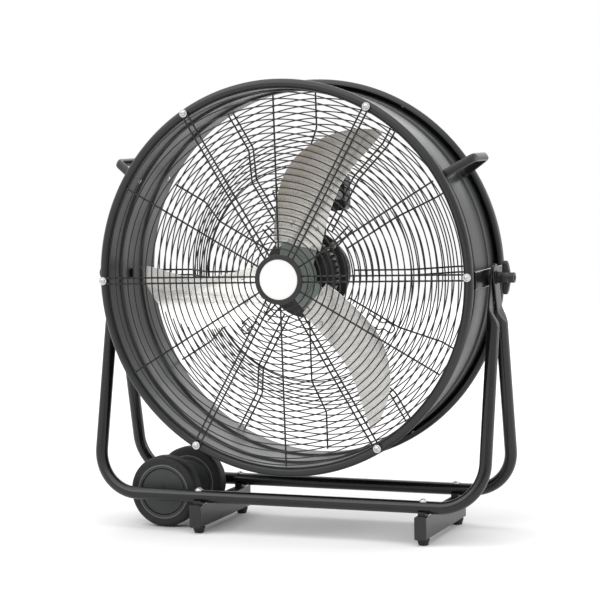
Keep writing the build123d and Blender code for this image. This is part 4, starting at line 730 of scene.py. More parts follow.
front_line = [(SPOKE_START, SPOKE_PLANE), (CURL_CENTRE_RADIUS, SPOKE_PLANE)]
front_wires = [hairpin(angle, front_line, -1) for angle in DOUBLE_ANGLES]
for angle in SINGLE_ANGLES:
    ends = [off_axis(angle, radius, 0, -SPOKE_PLANE) for radius in (SPOKE_START, LAST_RING + SPOKE_WIRE)]
    front_wires.append(wire(ends, SPOKE_WIRE))
for ring in range(RING_COUNT):
    front_wires.append(ring_wire(FIRST_RING + RING_PITCH * ring, -SPOKE_PLANE - RING_STANDOFF))
piece("front_guard_wires", front_wires, BLACK_WIRE, "drum", replaces=["front_guard"], crease=60)

rear_line = [
    (MOTOR_RING_RADIUS, DISH_FLOOR),
    (DISH_FLOOR_RADIUS, DISH_FLOOR),
    (DISH_TOP_RADIUS, SPOKE_PLANE),
    (CURL_CENTRE_RADIUS, SPOKE_PLANE),
]
rear_single_line = rear_line[:-1] + [(LAST_RING + SPOKE_WIRE, SPOKE_PLANE)]
rear_wires = [hairpin(angle, rear_line, 1) for angle in DOUBLE_ANGLES]
for angle in SINGLE_ANGLES:
    path = rounded([off_axis(angle, radius, 0, y) for radius, y in rear_single_line], DISH_BEND)
    rear_wires.append(wire(path, SPOKE_WIRE))

dish_slope = Vector((DISH_TOP_RADIUS - DISH_FLOOR_RADIUS, SPOKE_PLANE - DISH_FLOOR))
slope_step = dish_slope.normalized()
slope_normal = Vector((-slope_step.y, slope_step.x)) * RING_STANDOFF
floor_rings = int((DISH_FLOOR_RADIUS - MOTOR_RING_RADIUS) / RING_PITCH) + 1
slope_rings = int((dish_slope.length - RING_PITCH) / RING_PITCH) + 1
slope_start = (dish_slope.length - RING_PITCH * (slope_rings - 1)) / 2
outer_rings = int((LAST_RING - DISH_TOP_RADIUS) / RING_PITCH) + 1
for ring in range(floor_rings):
    rear_wires.append(ring_wire(MOTOR_RING_RADIUS + RING_PITCH * ring, DISH_FLOOR + RING_STANDOFF))
for ring in range(slope_rings):
    along = slope_step * (slope_start + RING_PITCH * ring) + slope_normal
    rear_wires.append(ring_wire(DISH_FLOOR_RADIUS + along.x, DISH_FLOOR + along.y))
for ring in range(outer_rings):
    rear_wires.append(ring_wire(LAST_RING - RING_PITCH * ring, SPOKE_PLANE + RING_STANDOFF))
for angle in EAR_ANGLES:
    bend = [
        off_axis(angle, EAR_BOLT_RADIUS - HAIRPIN_HALF * math.cos(a), -HAIRPIN_HALF * math.sin(a), DISH_FLOOR)
        for a in HALF_TURN
    ]
    start = off_axis(angle, EAR_REACH, HAIRPIN_HALF, DISH_FLOOR)
    end = off_axis(angle, EAR_REACH, -HAIRPIN_HALF, DISH_FLOOR)
    rear_wires.append(wire([start] + bend + [end], SPOKE_WIRE))
piece("rear_guard_wires", rear_wires, BLACK_WIRE, "drum", replaces=["rear_guard"], crease=60)

# ------------------------------------------------------------------ stand tubes


def pressed_end(side, tab_middle):
    """Rings from the rounded tip of a pivot tab down to the round tube at its neck.

    A ring is its centre, its way along the tube, half its thickness and width, and its power."""
    leg_drop = AXIS_HEIGHT - NECK_DROP - RUN_HEIGHT
    leg_way = Vector((0, side * (RUN_OFFSET - NECK_OFFSET), -leg_drop)).normalized()
    tab_way = Vector((0, side * TAB_OFFSET, -TAB_DROP)).normalized()
    pivot = Vector((tab_middle, 0, AXIS_HEIGHT))
    rings = []
    for step in range(TAB_STEPS + 1):
        turn = math.pi / 2 * step / TAB_STEPS
        rise = TAB_HALF_WIDTH * math.cos(turn)
        half_width = max(TAB_HALF_WIDTH * math.sin(turn), TAB_TIP)
        rings.append((pivot - tab_way * (TAB_TOP + rise), tab_way, TAB_HALF_SHEET, half_width, TAB_POWER))
    tab_end = pivot + tab_way * math.hypot(TAB_OFFSET, TAB_DROP)
    rings.append((tab_end, tab_way, TAB_HALF_SHEET, TAB_HALF_WIDTH, TAB_POWER))
    neck = Vector((LEG_OFFSET, side * NECK_OFFSET, AXIS_HEIGHT - NECK_DROP))
    for step in range(1, TAB_STEPS + 1):
        share = step / TAB_STEPS
        ease = share * share * (3 - 2 * share)
        centre = tab_end.lerp(neck, share)
        centre.x = tab_end.x + (neck.x - tab_end.x) * ease
        way = tab_way.lerp(leg_way, share).normalized()
        thick = TAB_HALF_SHEET + (TUBE_RADIUS - TAB_HALF_SHEET) * ease
        wide = TAB_HALF_WIDTH + (TUBE_RADIUS - TAB_HALF_WIDTH) * ease
        rings.append((centre, way, thick, wide, TAB_POWER + (TUBE_POWER - TAB_POWER) * ease))
    return rings


def stand_tube(side, tab_middle):
    """Bent tube with both ends pressed flat, from one pivot tab round to the other."""
    shapes = []
    for end in (-1, 1):
        skin = []
        for centre, way, thick, wide, power in pressed_end(side, tab_middle):
            flat = Vector((0, way.z, -way.y))
            mirrored = Vector((centre.x * end, centre.y, centre.z))
            outline = oval(thick, wide, power, count=TUBE_SIDES)
            skin.append([mirrored + Vector((u * end, 0, 0)) + flat * v for u, v in outline])
        shapes.append(loft(skin))
    corner = Vector((LEG_OFFSET, side * RUN_OFFSET, RUN_HEIGHT))
    top = Vector((LEG_OFFSET, side * NECK_OFFSET, AXIS_HEIGHT - NECK_DROP))
    flip = Vector((-1, 1, 1))
    path = rounded([top, corner, corner * flip, top * flip], CORNER_BEND, steps=20)
    shapes.append(sweep(path, oval(TUBE_RADIUS, TUBE_RADIUS, count=TUBE_SIDES), (0, 1, 0)))
    return shapes


for tube_name, side in (("front", -1), ("rear", 1)):
    piece(
        f"{tube_name}_stand_tube",
        stand_tube(side, TAB_MIDDLES[tube_name]),
        BLACK_STEEL,
        "frame",
        replaces=[f"{tube_name}_frame_tube"],
        crease=50,
    )

# ------------------------------------------------------------------ rim and handle fasteners

GUARD_FACE = SPOKE_PLANE + SPOKE_WIRE / 2
WASHER = 1.2 * MM
WASHER_RADIUS = 7 * MM
RIM_SCREW_RADIUS = 4.8 * MM
RIM_SCREW_HEAD = 3.5 * MM
SCREW_SHANK_RADIUS = 2.3 * MM
SCREW_LENGTH = 14 * MM
DRUM_INNER_RADIUS = 328 * MM

rim_places = [
    (off_axis(angle, CURL_CENTRE_RADIUS, 0, side * GUARD_FACE), Vector((0, side, 0)))
    for angle in DOUBLE_ANGLES
    for side in (-1, 1)
]
rim_washer = washer(WASHER_RADIUS, SCREW_SHANK_RADIUS, WASHER)
rim_head = recessed_head(RIM_SCREW_RADIUS, RIM_SCREW_HEAD)
rim_shank = shank(SCREW_SHANK_RADIUS, SCREW_LENGTH)
piece(
    "rim_washers",
    [standing(rim_washer, foot, way) for foot, way in rim_places],
    ZINC,
    "drum",
    replaces=["guard_washers"],
    bevel=0.3 * MM,
)
piece(
    "rim_screws",
    [
        standing(shape, foot + way * WASHER, way)
        for foot, way in rim_places
        for shape in (rim_head, rim_shank)
    ],
    ZINC,
    "drum",
    replaces=["guard_screws"],
)

HANDLE_ANGLE = 31.5  # degrees above the pivots
HANDLE_TURN = 0.5
HANDLE_REACH = 389 * MM
HANDLE_FOOT = 63 * MM
HANDLE_GRIP = 38 * MM
HANDLE_BEND = 14 * MM
HANDLE_HALF_WIDTH = 7.5 * MM
HANDLE_HALF_THICKNESS = 5 * MM
HANDLE_SCREW_RADIUS = 5 * MM
HANDLE_SCREW_HEAD = 3 * MM
HANDLE_SCREW_LENGTH = 12 * MM
HANDLE_SHANK_RADIUS = 2.5 * MM
HANDLE_STRAIGHT = 12 * MM
HANDLE_SIDES = 28
SCREW_BITE = 0.1 * MM  # sinks the head into the curved wall

handle_angles = {"right": HANDLE_ANGLE + HANDLE_TURN, "left": 180 - HANDLE_ANGLE + HANDLE_TURN}
handle_outline = [
    (WALL_RADIUS, -HANDLE_FOOT),
    (WALL_RADIUS + HANDLE_STRAIGHT, -HANDLE_FOOT),
    (HANDLE_REACH, -HANDLE_GRIP),
    (HANDLE_REACH, HANDLE_GRIP),
    (WALL_RADIUS + HANDLE_STRAIGHT, HANDLE_FOOT),
    (WALL_RADIUS, HANDLE_FOOT),
]
for hand, angle in handle_angles.items():
    path = rounded([off_axis(angle, radius, 0, y) for radius, y in handle_outline], HANDLE_BEND, steps=12)
    section = oval(HANDLE_HALF_WIDTH, HANDLE_HALF_THICKNESS, power=2.5, count=HANDLE_SIDES)
    grip = sweep(path, section, heading(angle + 90))
    piece(f"{hand}_carrying_handle", [grip], BLACK_NYLON, "drum", replaces=[f"{hand}_handle"], crease=60)

handle_head = recessed_head(HANDLE_SCREW_RADIUS, HANDLE_SCREW_HEAD)
handle_shank = shank(HANDLE_SHANK_RADIUS, HANDLE_SCREW_LENGTH)
handle_seat = math.sqrt(DRUM_INNER_RADIUS**2 - HANDLE_SCREW_RADIUS**2) - SCREW_BITE
piece(
    "handle_inner_screws",
    [
        standing(shape, off_axis(angle, handle_seat, 0, y), -heading(angle))
        for angle in handle_angles.values()
        for y in (-HANDLE_FOOT, HANDLE_FOOT)
        for shape in (handle_head, handle_shank)
    ],
    ZINC,
    "drum",
    replaces=["handle_screws"],
)

# ------------------------------------------------------------------ badge

BADGE_RADIUS = 43.5 * MM
BADGE_DISC_RADIUS = 35 * MM
BADGE_DEPTH = 5.5 * MM
BADGE_FLOOR = 2 * MM
BADGE_DISC = 2.5 * MM
BADGE_CUP_EDGE = 1.2 * MM
BADGE_DISC_EDGE = 0.8 * MM
OUTLET_WAY = (0, -1, 0)

cup_corners = oblong(BADGE_DISC_RADIUS, BADGE_RADIUS, GUARD_FACE, GUARD_FACE + BADGE_DEPTH)
cup_outline = eased(cup_corners + cup_corners[:1], BADGE_CUP_EDGE, steps=5)[:-1]
back_plate = oblong(0, BADGE_DISC_RADIUS, GUARD_FACE, GUARD_FACE + BADGE_FLOOR)
disc_top = GUARD_FACE + BADGE_FLOOR + BADGE_DISC
disc_corners = oblong(0, BADGE_DISC_RADIUS, GUARD_FACE + BADGE_FLOOR, disc_top)
disc_outline = eased(disc_corners, BADGE_DISC_EDGE, steps=5)
piece(
    "badge_cup",
    [lathe(cup_outline, axis=OUTLET_WAY), lathe(back_plate, axis=OUTLET_WAY)],
    BLACK_NYLON,
    "drum",
    replaces=["badge_ring"],
)
piece(
    "badge_plate",
    [lathe(disc_outline, axis=OUTLET_WAY)],
    WHITE_PLASTIC,
    "drum",
    replaces=["badge_disc"],
)

# ------------------------------------------------------------------ pivots and locking knobs

for hand in ("right", "left"):
    dressed(f"{hand}_pivot_bracket", GLOSS_STEEL, "drum", bevel=0.4 * MM)
dressed("pivot_washers", BLACK_NYLON, "drum", bevel=0.3 * MM)
dressed("pivot_bolts", BLACK_STEEL, "drum", bevel=0.6 * MM)

KNOB_SEAT = 359.6 * MM
KNOB_NECK_RADIUS = 9.8 * MM
KNOB_NECK = 9 * MM
KNOB_WING_HALF_SPAN = 29 * MM
KNOB_WING_HALF_WIDTH = 6.5 * MM
KNOB_WING = 10 * MM
KNOB_FLARE = 5 * MM
KNOB_HUB_RADIUS = 12 * MM
KNOB_NOSE_RADIUS = 9 * MM
KNOB_SOCKET_RADIUS = 4 * MM
KNOB_SOCKET = 3 * MM
KNOB_LENGTH = 30.4 * MM
KNOB_EDGE = 0.8 * MM
KNOB_SHOULDER = 1 * MM
KNOB_NOSE_SLOPE = 2 * MM
KNOB_STEPS = 40
KNOB_TIP = 0.2 * MM


def knob_shapes(side):
    """Neck, two lobed wing and nose of a locking knob on one side of the drum."""
    out = Vector((side, 0, 0))
    seat = DRUM_CENTRE + out * KNOB_SEAT
    wing_middle = seat + out * (KNOB_NECK + KNOB_WING / 2)
    rings = []
    for step in range(KNOB_STEPS + 1):
        share = -math.cos(math.pi * step / KNOB_STEPS)
        # full lobes with rounded ends, and a narrower waist beside the hub
        tip = max(1 - abs(share) ** 8, 0.0) ** 0.5
        lobe = 0.8 + 0.2 * min(abs(share) / 0.7, 1) ** 2
        half_width = max(KNOB_WING_HALF_WIDTH * lobe * tip, KNOB_TIP)
        # outer face that flares to the nose
        flare = KNOB_FLARE / 2 * max(1 - abs(share) / 0.9, 0)
        half_depth = KNOB_WING / 2 * (0.4 + 0.6 * tip) + flare
        centre = wing_middle + out * flare + Vector((0, 0, KNOB_WING_HALF_SPAN * share))
        outline = oval(half_width, half_depth, power=5, count=24)
        rings.append([centre + Vector((0, u, 0)) + out * v for u, v in outline])
    hub = [
        (0, 0),
        (KNOB_NECK_RADIUS, 0),
        (KNOB_NECK_RADIUS, KNOB_NECK),
        (KNOB_HUB_RADIUS, KNOB_NECK + KNOB_SHOULDER),
        (KNOB_HUB_RADIUS, KNOB_NECK + KNOB_WING),
        (KNOB_NOSE_RADIUS, KNOB_NECK + KNOB_WING + KNOB_NOSE_SLOPE),
        (KNOB_NOSE_RADIUS, KNOB_LENGTH),
        (KNOB_SOCKET_RADIUS, KNOB_LENGTH),
        (KNOB_SOCKET_RADIUS, KNOB_LENGTH - KNOB_SOCKET),
        (0, KNOB_LENGTH - KNOB_SOCKET),
    ]
    return [loft(rings), lathe(eased(hub, KNOB_EDGE, steps=4), centre=seat, axis=out, segments=48)]


for hand, side in (("right", 1), ("left", -1)):
    piece(
        f"{hand}_wing_knob",
        knob_shapes(side),
        BLACK_NYLON,
        f"{hand}_knob",
        replaces=[f"{hand}_locking_knob"],
        crease=45,
    )

# ------------------------------------------------------------------ motor

MOTOR_RADIUS = 62 * MM
MOTOR_FRONT = -2 * MM
MOTOR_BACK = 84 * MM
BELL_DEPTH = 10 * MM
BELL_STEP = 4 * MM
BELL_EDGE = 1 * MM
BELL_BORE = 8 * MM
BELL_DISH_RADIUS = 26 * MM
BELL_DISH_FLOOR_RADIUS = 24 * MM
BELL_DISH = 1.5 * MM
RIB_COUNT = 36
RIB_HEIGHT = 3 * MM
MOUNT_RADIUS = 79 * MM
MOUNT_THICKNESS = 6 * MM
MOUNT_FACE = DISH_FLOOR - SPOKE_WIRE / 2
MOUNT_HEX_RADIUS = 5.5 * MM
MOUNT_HEAD = 4 * MM
MOUNT_FLANGE = 0.25 * MOUNT_HEAD
MOUNT_SHANK_RADIUS = 3 * MM
MOUNT_NUT = 5 * MM
MOUNT_THREAD = 1 * MM  # beyond the nut


def ribbed_outline():
    """Round outline with ribs that stand up to the motor radius."""
    outline = []
    for rib in range(RIB_COUNT):
        for share, depth in ((0, RIB_HEIGHT), (0.5, RIB_HEIGHT), (0.62, 0), (0.88, 0)):
            angle = 2 * math.pi * (rib + share) / RIB_COUNT
            radius = MOTOR_RADIUS - depth
            outline.append((radius * math.cos(angle), radius * math.sin(angle)))
    return outline


front_middle = DRUM_CENTRE + Vector((0, MOTOR_FRONT, 0))
piece(
    "ribbed_motor_housing",
    [prism(ribbed_outline(), front_middle, (0, 0, 1), (1, 0, 0), MOTOR_BACK - MOTOR_FRONT)],
    BLACK_MOTOR,
    "drum",
    replaces=["motor_housing"],
    bevel=0.5 * MM,
    crease=25,
)


def bell(edge, way):
    """Stepped end cover of the motor, from an edge of the housing outwards."""
    step = edge + way * (BELL_DEPTH - BELL_STEP)
    face = edge + way * BELL_DEPTH
    dish = face - way * BELL_DISH
    corners = [
        (BELL_BORE, edge),
        (MOTOR_RADIUS, edge),
        (MOTOR_RADIUS, step),
        (MOTOR_RADIUS - BELL_STEP, step),
        (MOTOR_RADIUS - BELL_STEP, face),
        (BELL_DISH_RADIUS, face),
        (BELL_DISH_FLOOR_RADIUS, dish),
        (BELL_BORE, dish),
    ]
    return lathe(eased(corners, BELL_EDGE, steps=4))


piece(
    "motor_end_bells",
    [bell(MOTOR_FRONT, -1), bell(MOTOR_BACK, 1)],
    BLACK_MOTOR,
    "drum",
    replaces=["motor_bells"],
)

mount_front = MOUNT_FACE - MOUNT_THICKNESS
mount_outline = oblong(MOTOR_RADIUS, MOUNT_RADIUS, mount_front, MOUNT_FACE)
piece("motor_mount", [lathe(mount_outline)], BLACK_MOTOR, "drum", replaces=["motor_mount_ring"], bevel=1 * MM)

mount_feet = [off_axis(angle, EAR_BOLT_RADIUS, 0, mount_front) for angle in EAR_ANGLES]
nut_feet = [off_axis(angle, EAR_BOLT_RADIUS, 0, DISH_FLOOR + SPOKE_WIRE / 2) for angle in EAR_ANGLES]
mount_reach = MOUNT_THICKNESS + SPOKE_WIRE + WASHER + MOUNT_NUT + MOUNT_THREAD
mount_bolt = [
    washer(1.15 * MOUNT_HEX_RADIUS, 0, MOUNT_FLANGE),
    hex_post(0.92 * MOUNT_HEX_RADIUS, MOUNT_FLANGE, MOUNT_HEAD),
    shank(MOUNT_SHANK_RADIUS, mount_reach),
]
mount_nut = [
    washer(WASHER_RADIUS, MOUNT_SHANK_RADIUS, WASHER),
    hex_post(MOUNT_HEX_RADIUS, WASHER, WASHER + MOUNT_NUT),
]
piece(
    "motor_mount_bolts",
    [standing(shape, foot, OUTLET_WAY) for foot in mount_feet for shape in mount_bolt],
    ZINC,
    "drum",
    replaces=["mount_bolts"],
    bevel=0.35 * MM,
)
piece(
    "motor_mount_nuts",
    [standing(shape, foot, (0, 1, 0)) for foot in nut_feet for shape in mount_nut],
    ZINC,
    "drum",
    replaces=["mount_nuts"],
    bevel=0.35 * MM,
)

# ------------------------------------------------------------------ rotor

dressed("hub_spider", HUB_PAINT, "rotor", bevel=0.7 * MM)
for blade in (1, 2, 3):
    dressed(f"fan_blade_{blade}", ALUMINIUM, "rotor", bevel=0.5 * MM)
dressed("blade_rivets", ZINC, "rotor", bevel=0.6 * MM)
dressed("motor_shaft", ZINC, "rotor", bevel=0.3 * MM)
coated(["motor_core"], IRON)
coated(["hub_set_screw"], ZINC)

# ------------------------------------------------------------------ control box

dressed("control_box", BLACK_NYLON, "drum", bevel=1.2 * MM)
dressed("control_box_lid", BLACK_NYLON, "drum", bevel=0.8 * MM)
dressed("box_screws", ZINC, "drum", bevel=0.4 * MM)
dressed("clamp_screws", ZINC, "drum", bevel=0.3 * MM)
dressed("cable_gland", BLACK_NYLON, "drum", bevel=0.5 * MM)
dressed("motor_lead", RUBBER, "drum", bevel=0.2 * MM)
dressed("cord_hooks", BLACK_WIRE, "drum", bevel=0.0)
coated(["speed_switch"], GREY_PLASTIC)
coated(["run_capacitor"], WHITE_PLASTIC)
coated(["motor_stator"], IRON)
coated(["motor_windings"], COPPER)
coated(["motor_bearings"], ZINC)

dial_low, dial_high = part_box("speed_knob")
dial_middle = (dial_low + dial_high) / 2
dial_radius = (dial_high.x - dial_low.x) / 2
dial_back = dial_high.y
dial_seat = dial_low.y
lid_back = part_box("control_box_lid")[1].y
DIAL_FLUTES = 20
FLUTE_STEPS = 6
FLUTE_DEPTH = 1 * MM
GRIP_SHARE = 0.78
SKIRT = 5 * MM


def fluted_outline(radius, depth):
    """Round outline with shallow finger flutes."""
    outline = []
    for step in range(DIAL_FLUTES * FLUTE_STEPS):
        angle = 2 * math.pi * step / (DIAL_FLUTES * FLUTE_STEPS)
        reach = radius - depth * (0.5 + 0.5 * math.cos(DIAL_FLUTES * angle))
        outline.append((reach * math.cos(angle), reach * math.sin(angle)))
    return outline


dial_foot = Vector((dial_middle.x, dial_seat, dial_middle.z))
skirt = washer(dial_radius, 0, SKIRT)
grip_outline = fluted_outline(GRIP_SHARE * dial_radius, FLUTE_DEPTH)
grip = prism(grip_outline, (0, 0, SKIRT), (1, 0, 0), (0, 1, 0), dial_back - dial_seat - SKIRT)
piece(
    "speed_dial_knob",
    [standing(shape, dial_foot, (0, 1, 0)) for shape in (skirt, grip)],
    BLACK_NYLON,
    "speed_dial",
    replaces=["speed_knob"],
    bevel=0.5 * MM,
)


def bar_on_lid(angle, start, end, width, level, height):
    """Raised bar round the dial, with angles from straight up."""
    way = Vector((math.sin(math.radians(angle)), 0, math.cos(math.radians(angle))))
    aside = Vector((way.z, 0, -way.x))
    origin = Vector((dial_middle.x, level, dial_middle.z))
    return prism(oblong(start, end, -width / 2, width / 2), origin, way, aside, height)


MARK = 0.3 * MM
MARK_WIDTH = 1.2 * MM
MARK_START = 2 * MM  # beyond the edge of the dial
MARK_END = 5 * MM
POINTER_WIDTH = 1.6 * MM

mark_start = dial_radius + MARK_START
mark_end = dial_radius + MARK_END
pointer_start = 0.15 * dial_radius
pointer_end = 0.7 * dial_radius
piece(
    "dial_pointer",
    [bar_on_lid(0, pointer_start, pointer_end, POINTER_WIDTH, dial_back - MARK, MARK)],
    WHITE_PLASTIC,
    "speed_dial",
)
piece(
    "dial_marks",
    [
        bar_on_lid(angle, mark_start, mark_end, MARK_WIDTH, lid_back - MARK, 2 * MARK)
        for angle in (0, -90, 180, 90)
    ],
    WHITE_PLASTIC,
    "drum",
)

# ------------------------------------------------------------------ foot bars and bolts

FOOT_HEIGHT = 11 * MM
FOOT_TOP_RADIUS = 11.5 * MM
FOOT_TREAD_RADIUS = 8 * MM
FOOT_OFFSET = 100.4 * MM
STEM_RADIUS = 4 * MM
STEM = 6 * MM
FOOT_EDGE = 1 * MM
BAR_MIDDLES = [box_middle(f"{hand}_foot_bar").x for hand in ("left", "right")]
STAND_BOLT_RADIUS = 6 * MM
STAND_BOLT_HEAD = 3 * MM
STAND_SHANK_RADIUS = 3 * MM

for hand in ("left", "right"):
    dressed(f"{hand}_foot_bar", BLACK_STEEL, "frame", bevel=0.0)
dressed("foot_bar_caps", BLACK_NYLON, "frame", bevel=0.6 * MM)
dressed("tube_saddles", BLACK_NYLON, "frame", bevel=0.4 * MM)
dressed("stand_washers", ZINC, "frame", bevel=0.2 * MM)
dressed("axle_spacers", BLACK_NYLON, "frame", bevel=0.3 * MM)
coated(["wheel_axle", "stand_nuts"], ZINC)

foot_corners = [
    (0, 0),
    (FOOT_TREAD_RADIUS, 0),
    (FOOT_TOP_RADIUS, FOOT_HEIGHT),
    (STEM_RADIUS, FOOT_HEIGHT),
    (STEM_RADIUS, FOOT_HEIGHT + STEM),
    (0, FOOT_HEIGHT + STEM),
]
foot = post(eased(foot_corners, FOOT_EDGE, steps=4))
piece(
    "rubber_feet_moulded",
    [standing(foot, (x, side * FOOT_OFFSET, 0), (0, 0, 1)) for x in BAR_MIDDLES for side in (-1, 1)],
    RUBBER,
    "frame",
    replaces=["rubber_feet"],
)

head_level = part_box("stand_bolts")[1].z - STAND_BOLT_HEAD
bolt_reach = head_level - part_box("stand_bolts")[0].z
stand_bolt = [post(dome(STAND_BOLT_RADIUS, STAND_BOLT_HEAD)), shank(STAND_SHANK_RADIUS, bolt_reach)]
piece(
    "stand_dome_bolts",
    [
        standing(shape, (x, side * RUN_OFFSET, head_level), (0, 0, 1))
        for x in BAR_MIDDLES
        for side in (-1, 1)
        for shape in stand_bolt
    ],
    ZINC,
    "frame",
    replaces=["stand_bolts"],
)

# ------------------------------------------------------------------ wheels

TYRE_INNER = 48.5 * MM
TYRE_EDGE = 7 * MM
CAP_RADIUS = 42 * MM
CAP = 2 * MM
CAP_SINK = 1 * MM
CAP_EDGE = 0.6 * MM
WEB_HALF = 4 * MM
AXLE_RADIUS = 6 * MM
RIM_LIP = 1.1 * MM
# width and rise of the pale rings that paint the highlight on each tyre's inner edge
HIGHLIGHT_RING_WIDTH = 1.5 * MM
HIGHLIGHT_RING_RISE = 0.2 * MM


def wheel(name):
    """Tyre, rim with its web, two discs and two pale rings of a wheel, which paint the highlight on the
    tyre's inner edge.
    """
    middle = box_middle(f"{name}_tyre")
    size = box_size(f"{name}_tyre")
    radius, half_width = size.x / 2, size.y / 2
    tyre = eased(oblong(TYRE_INNER, radius, -half_width, half_width), TYRE_EDGE, steps=10)
    piece(
        f"{name}_solid_tyre",
        [lathe(tyre, centre=middle)],
        RUBBER,
        name,
        replaces=[f"{name}_tyre"],
        crease=50,
    )
    rim = oblong(CAP_RADIUS, TYRE_INNER, -half_width, half_width)
    web = oblong(AXLE_RADIUS, CAP_RADIUS, -WEB_HALF, WEB_HALF)
    piece(
        f"{name}_rim",
        [lathe(rim, centre=middle), lathe(web, centre=middle)],
        GREY_PLASTIC,
        name,
        replaces=[f"{name}_core"],
        bevel=1 * MM,
    )
    discs, highlight_rings = [], []
    for side in (-1, 1):
        face = side * (half_width + HIGHLIGHT_RING_RISE)
        # pale ring at the tyre's inner edge: a painted highlight where that edge catches the light
        highlight_ring = oblong(TYRE_INNER - HIGHLIGHT_RING_WIDTH, TYRE_INNER, face, face - side * HIGHLIGHT_RING_WIDTH)
        highlight_rings.append(lathe(highlight_ring, centre=middle))
        seat = side * (half_width - CAP_SINK - CAP)
        top = side * (half_width - CAP_SINK)
        disc = oblong(AXLE_RADIUS + RIM_LIP, CAP_RADIUS - RIM_LIP, seat, top)
        discs.append(lathe(eased(disc, CAP_EDGE, steps=3), centre=middle))
    piece(f"{name}_discs", discs, GREY_PLASTIC, name, replaces=[f"{name}_caps"])
    # the pale rings paint the highlight of each tyre's inner edge
    piece(f"{name}_painted_highlight_rings", highlight_rings, HIGHLIGHT_RING_GREY, name)


for wheel_name in ("front_wheel", "rear_wheel"):
    wheel(wheel_name)

# ------------------------------------------------------------------ stage, light and camera

# Camera that the fan's rims, tubes and feet give, with its focal length in picture points
CAMERA_AZIMUTH = 20.789
CAMERA_ELEVATION = 4.868
CAMERA_ROLL = -0.9
CAMERA_PLACE = Vector((1.4067, -3.7126, 0.7447))
SENSOR = 36.0
FOCAL_PIXELS = 2251.75
PICTURE_PIXELS = 600

# White sheet with a tongue that runs on forward beside the camera, and a taupe ground and wall
SHEET_SIDE = 2.6
SHEET_BACK = 4.5
SHEET_FRONT = -1.6
SHEET_TONGUE = 0.77
TONGUE_FRONT = -6.1
TONGUE_SHOULDER = -4.1
TONGUE_TIP = 0.42
CORNER_WALL = -6.2
CORNER_LEFT = -0.3
CORNER_RIGHT = 6.0
CORNER_GROUND = -5 * MM  # just below the white sheet
CORNER_HEIGHT = 1.8
ROOM_LIGHT = 0.7


def photo_camera():
    """Camera at the photograph's viewing angle."""
    azimuth, elevation, roll = map(math.radians, (CAMERA_AZIMUTH, CAMERA_ELEVATION, CAMERA_ROLL))
    back = Vector((
        math.sin(azimuth) * math.cos(elevation),
        -math.cos(azimuth) * math.cos(elevation),
        math.sin(elevation),
    ))
    level = Vector((math.cos(azimuth), math.sin(azimuth), 0))
    upright = back.cross(level)
    right = level * math.cos(roll) + upright * math.sin(roll)
    up = upright * math.cos(roll) - level * math.sin(roll)
    lens = bpy.data.cameras.new("photo_camera")
    lens.sensor_width = SENSOR
    lens.lens = FOCAL_PIXELS / PICTURE_PIXELS * SENSOR
    camera = bpy.data.objects.new("photo_camera", lens)
    turn = Matrix((right, up, back)).transposed().to_4x4()
    camera.matrix_world = Matrix.Translation(CAMERA_PLACE) @ turn
    bpy.context.scene.collection.objects.link(camera)
    bpy.context.scene.camera = camera


def stage_sheet(name, material, points, faces):
    """Flat sheets of the studio, which aren't part of the fan."""
    mesh = bpy.data.meshes.new(name)
    mesh.from_pydata(points, [], faces)
    mesh.materials.append(material)
    sheet = place_object(name, mesh)
    return sheet


def studio_floor():
    """White sheet under and behind the fan that keeps its soft shadow."""
    material, shader, place = new_material("white_paper_sweep", "#fbfbfb", 0.95, Specular_IOR_Level=0.0)
    # cockle of the paper about 6 mm wide
    cockle = add_node(material, "TexNoise", {"Scale": 1 / (6 * MM), "Detail": 3}, {"Vector": place})
    relief = {"Strength": 0.1, "Distance": 0.05 * MM}
    add_node(material, "Bump", relief, {"Height": cockle}, shader.inputs["Normal"])
    outline = [
        (-SHEET_SIDE, TONGUE_FRONT, 0),
        (TONGUE_TIP, TONGUE_FRONT, 0),
        (SHEET_TONGUE, TONGUE_SHOULDER, 0),
        (SHEET_TONGUE, SHEET_FRONT, 0),
        (SHEET_SIDE, SHEET_FRONT, 0),
        (SHEET_SIDE, SHEET_BACK, 0),
        (-SHEET_SIDE, SHEET_BACK, 0),
    ]
    stage_sheet("studio_floor", material, outline, [range(len(outline))])


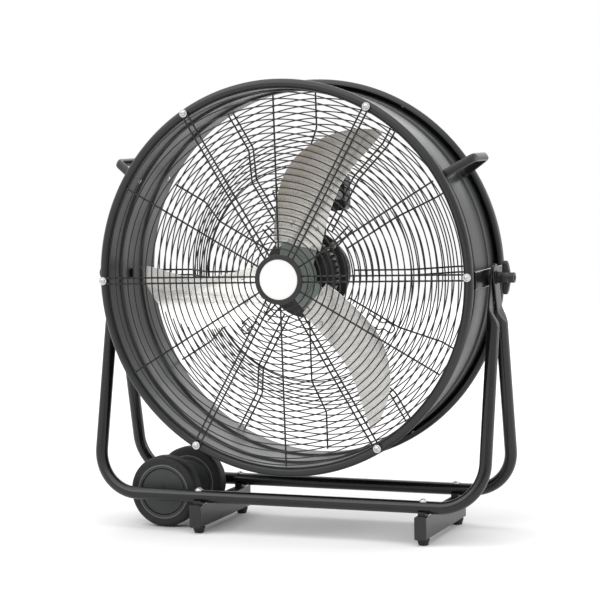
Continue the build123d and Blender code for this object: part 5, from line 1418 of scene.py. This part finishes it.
def studio_corner():
    """Ground and wall on the camera's side: a taupe that shows only in metal and gloss."""
    material, shader, place = new_material(
        "matt_taupe_wall_paint", "#a29b90", 0.9, Specular_IOR_Level=0.0
    )
    # patches of the rolled paint about 800 mm wide
    patches = add_node(material, "TexNoise", {"Scale": 1 / (800 * MM), "Detail": 3}, {"Vector": place})
    tones = {"stops": {0.3: "#9d968a", 0.7: "#a7a197"}}
    add_node(material, "ValToRGB", tones, {"Fac": patches}, shader.inputs["Base Color"])
    points = [(x, SHEET_FRONT, CORNER_GROUND) for x in (CORNER_LEFT, CORNER_RIGHT)]
    points += [(x, CORNER_WALL, CORNER_GROUND) for x in (CORNER_RIGHT, CORNER_LEFT)]
    points += [(x, CORNER_WALL, CORNER_HEIGHT) for x in (CORNER_RIGHT, CORNER_LEFT)]
    sheet = stage_sheet("studio_corner", material, points, [(0, 1, 2, 3), (3, 2, 4, 5)])
    sheet.visible_camera = False


def studio_world():
    """White to the camera, to metal and to glass, and a dimmer even room as a light."""
    world = bpy.data.worlds.new("studio")
    bpy.context.scene.world = world
    world.use_nodes = True
    path = add_node(world, "LightPath")
    room = world.node_tree.nodes["Background"]
    room.inputs["Color"].default_value = (1, 1, 1, 1)
    room.inputs["Strength"].default_value = ROOM_LIGHT
    white = add_node(world, "Background", {"Color": (1, 1, 1, 1), "Strength": 1.0})
    seen = room
    for ray in ("Is Camera Ray", "Is Glossy Ray", "Is Transmission Ray"):
        seen = add_node(world, "MixShader", (), {0: path.outputs[ray], 1: seen, 2: white})
    world.node_tree.links.new(seen.outputs[0], world.node_tree.nodes["World Output"].inputs["Surface"])


def sun_light(name, way, strength, spread):
    """Even light over the whole floor, soft because its disc is wide."""
    lamp = bpy.data.lights.new(name, "SUN")
    lamp.energy = strength
    lamp.angle = math.radians(spread)
    holder = place_object(name, lamp)
    holder.rotation_euler = Vector(way).to_track_quat("-Z", "Y").to_euler()


def soft_light(name, place, target, width, height, power):
    """Large lamp that looks at a point and stays out of the picture."""
    lamp = bpy.data.lights.new(name, "AREA")
    lamp.shape = "RECTANGLE"
    lamp.size = width
    lamp.size_y = height
    lamp.energy = power
    holder = place_object(name, lamp)
    holder.location = place
    holder.rotation_euler = (Vector(target) - Vector(place)).to_track_quat("-Z", "Y").to_euler()
    holder.visible_camera = False


photo_camera()
studio_floor()
studio_corner()
studio_world()
soft_light("high_panel", place=(-2.3, -3.3, 3.2), target=(0, 0, 0.5), width=3.2, height=2.4, power=30)
soft_light("back_panel", place=(-0.3, 4.4, 2.3), target=(0, 0, 0.6), width=3.0, height=2.2, power=37)
soft_light("right_panel", place=(2.7, 1.3, 1.3), target=(0.2, 0, 0.5), width=1.6, height=2.0, power=26)
sun_light("even_light", way=(0.25, 0.35, -1.0), strength=1.5, spread=80)
bpy.context.scene.view_settings.view_transform = "Standard"
